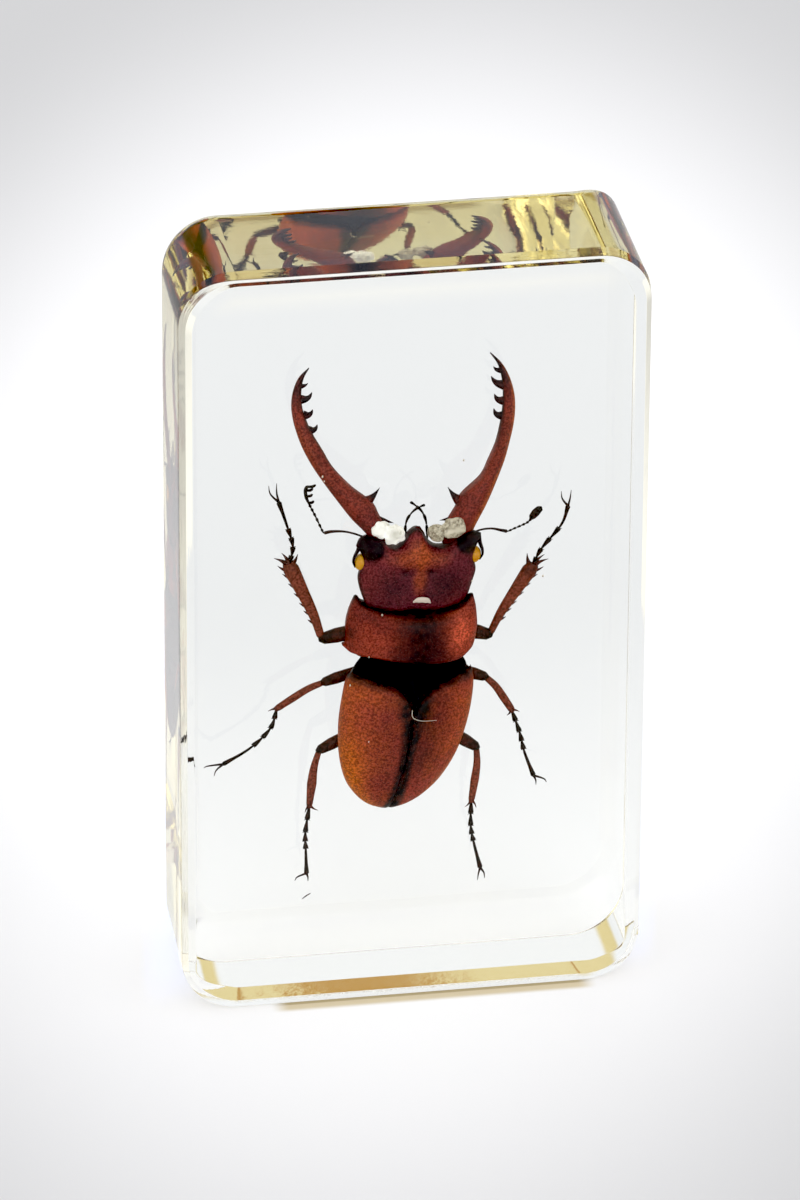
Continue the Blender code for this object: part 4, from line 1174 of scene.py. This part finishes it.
def build_stage():
    """A wide pale floor, lit from below, with a painted pool of light: whitest round the block, it fades to
    light grey.
    """
    bm = bmesh.new()
    bmesh.ops.create_circle(bm, cap_ends=True, radius=FLOOR_RADIUS, segments=96)
    mesh = bpy.data.meshes.new("floor")
    bm.to_mesh(mesh)
    bm.free()
    floor = new_object("floor", mesh)
    floor.location.z = -FLOOR_GAP * MM
    n = material_nodes("pale_floor")
    x, y, _ = n.split(n.coordinates())
    aside = n.math("ABSOLUTE", n.math("SUBTRACT", x, n.times(y, SIGHT_SLOPE)))
    away = n.times(n.math("SUBTRACT", y, FLOOR_CENTRE), FLOOR_SQUEEZE)
    far = n.math("SQRT", n.math("ADD", n.times(aside, aside), n.times(away, away)))
    # painted pool of light round the block
    tone = n.mix(n.ramp(far, 0.035, 0.115), FLOOR_NEAR, FLOOR_FAR)
    behind = n.times(n.drop(aside, *BEHIND_ASIDE), n.window(y, *BEHIND_REACH))
    beyond = n.mix(n.ramp(y, 0.01, 0.12), FLOOR_BEHIND, FLOOR_BEYOND)
    tone = n.mix(behind, tone, n.mix(n.ramp(y, 0.021, 0.0245), FLOOR_CLOSE, beyond))
    along, across = (
        n.drop(n.math("ABSOLUTE", n.math("SUBTRACT", value, middle * MM)), half * MM, (half + fade) * MM)
        for value, middle, half, fade in zip((x, y), TOUCH_PLACE, TOUCH_HALF, TOUCH_FADE)
    )
    line = n.ramp(y, *(place * MM for place in TOUCH_LINE))
    tone = n.mix(n.times(along, across), tone, n.mix(line, FLOOR_TOUCH, TOUCH_DARK))
    n.shade(Base_Color=n.mix(0.58, tone, (0, 0, 0)), Roughness=0.9, Specular_IOR_Level=0.1)
    n.shade(Emission_Color=tone, Emission_Strength=FLOOR_GLOW)
    mesh.materials.append(n.owner)


def build_light():
    """White light from all round, but for a brown band low behind the block, the far side of a room."""
    world = bpy.data.worlds.new("studio")
    bpy.context.scene.world = world
    n = Nodes(world)
    across, deep, height = n.split(n.coordinates("Generated"))
    band = n.times(n.window(height, *BAND_HEIGHTS), n.ramp(deep, 0.5, 0.75))
    slope = n.math("DIVIDE", across, n.math("MAXIMUM", deep, 0.01))
    post = n.mix(n.window(slope, *POST_SLOPES), BAND_COLOUR, POST_COLOUR)
    colour = n.mix(n.ramp(deep, 0.4, 0.7), WORLD_COLOUR, WORLD_BEHIND)
    front = n.times(n.drop(deep, -0.7, -0.1), n.ramp(height, 0.0, 0.35))
    gain = n.math("ADD", n.times(front, FRONT_GAIN), 1.0)
    background = n.tree.nodes["Background"]
    n.set(background.inputs["Color"], n.mix(band, colour, post))
    n.set(background.inputs["Strength"], n.times(gain, WORLD_STRENGTH))


def build_camera():
    camera = new_object("camera", bpy.data.cameras.new("camera"))
    camera.data.sensor_width = SENSOR_WIDTH
    camera.data.lens = LENS
    camera.data.clip_end = CLIP_END
    azimuth, elevation = math.radians(CAMERA_AZIMUTH), math.radians(CAMERA_ELEVATION)
    level = math.cos(elevation)
    look = Vector((math.sin(azimuth) * level, math.cos(azimuth) * level, -math.sin(elevation)))
    turn = look.to_track_quat("-Z", "Y").to_matrix() @ Matrix.Rotation(math.radians(CAMERA_ROLL), 3, "Z")
    place = Matrix.Translation((Vector(CAMERA_AIM) - look * CAMERA_DISTANCE) * MM)
    camera.matrix_world = place @ turn.to_4x4()
    bpy.context.scene.camera = camera


def set_colours():
    scene = bpy.context.scene
    scene.view_settings.view_transform = "Standard"
    scene.view_settings.use_curve_mapping = True
    scene.view_settings.curve_mapping.black_level = (BLACK_LEVEL,) * 3
    scene.view_settings.curve_mapping.update()
    scene.cycles.max_bounces = scene.cycles.transmission_bounces = BOUNCES
    scene.cycles.glossy_bounces = scene.cycles.transparent_max_bounces = SHORT_BOUNCES


build_camera()
build_block()
build_beetle()
build_stage()
build_light()
set_colours()
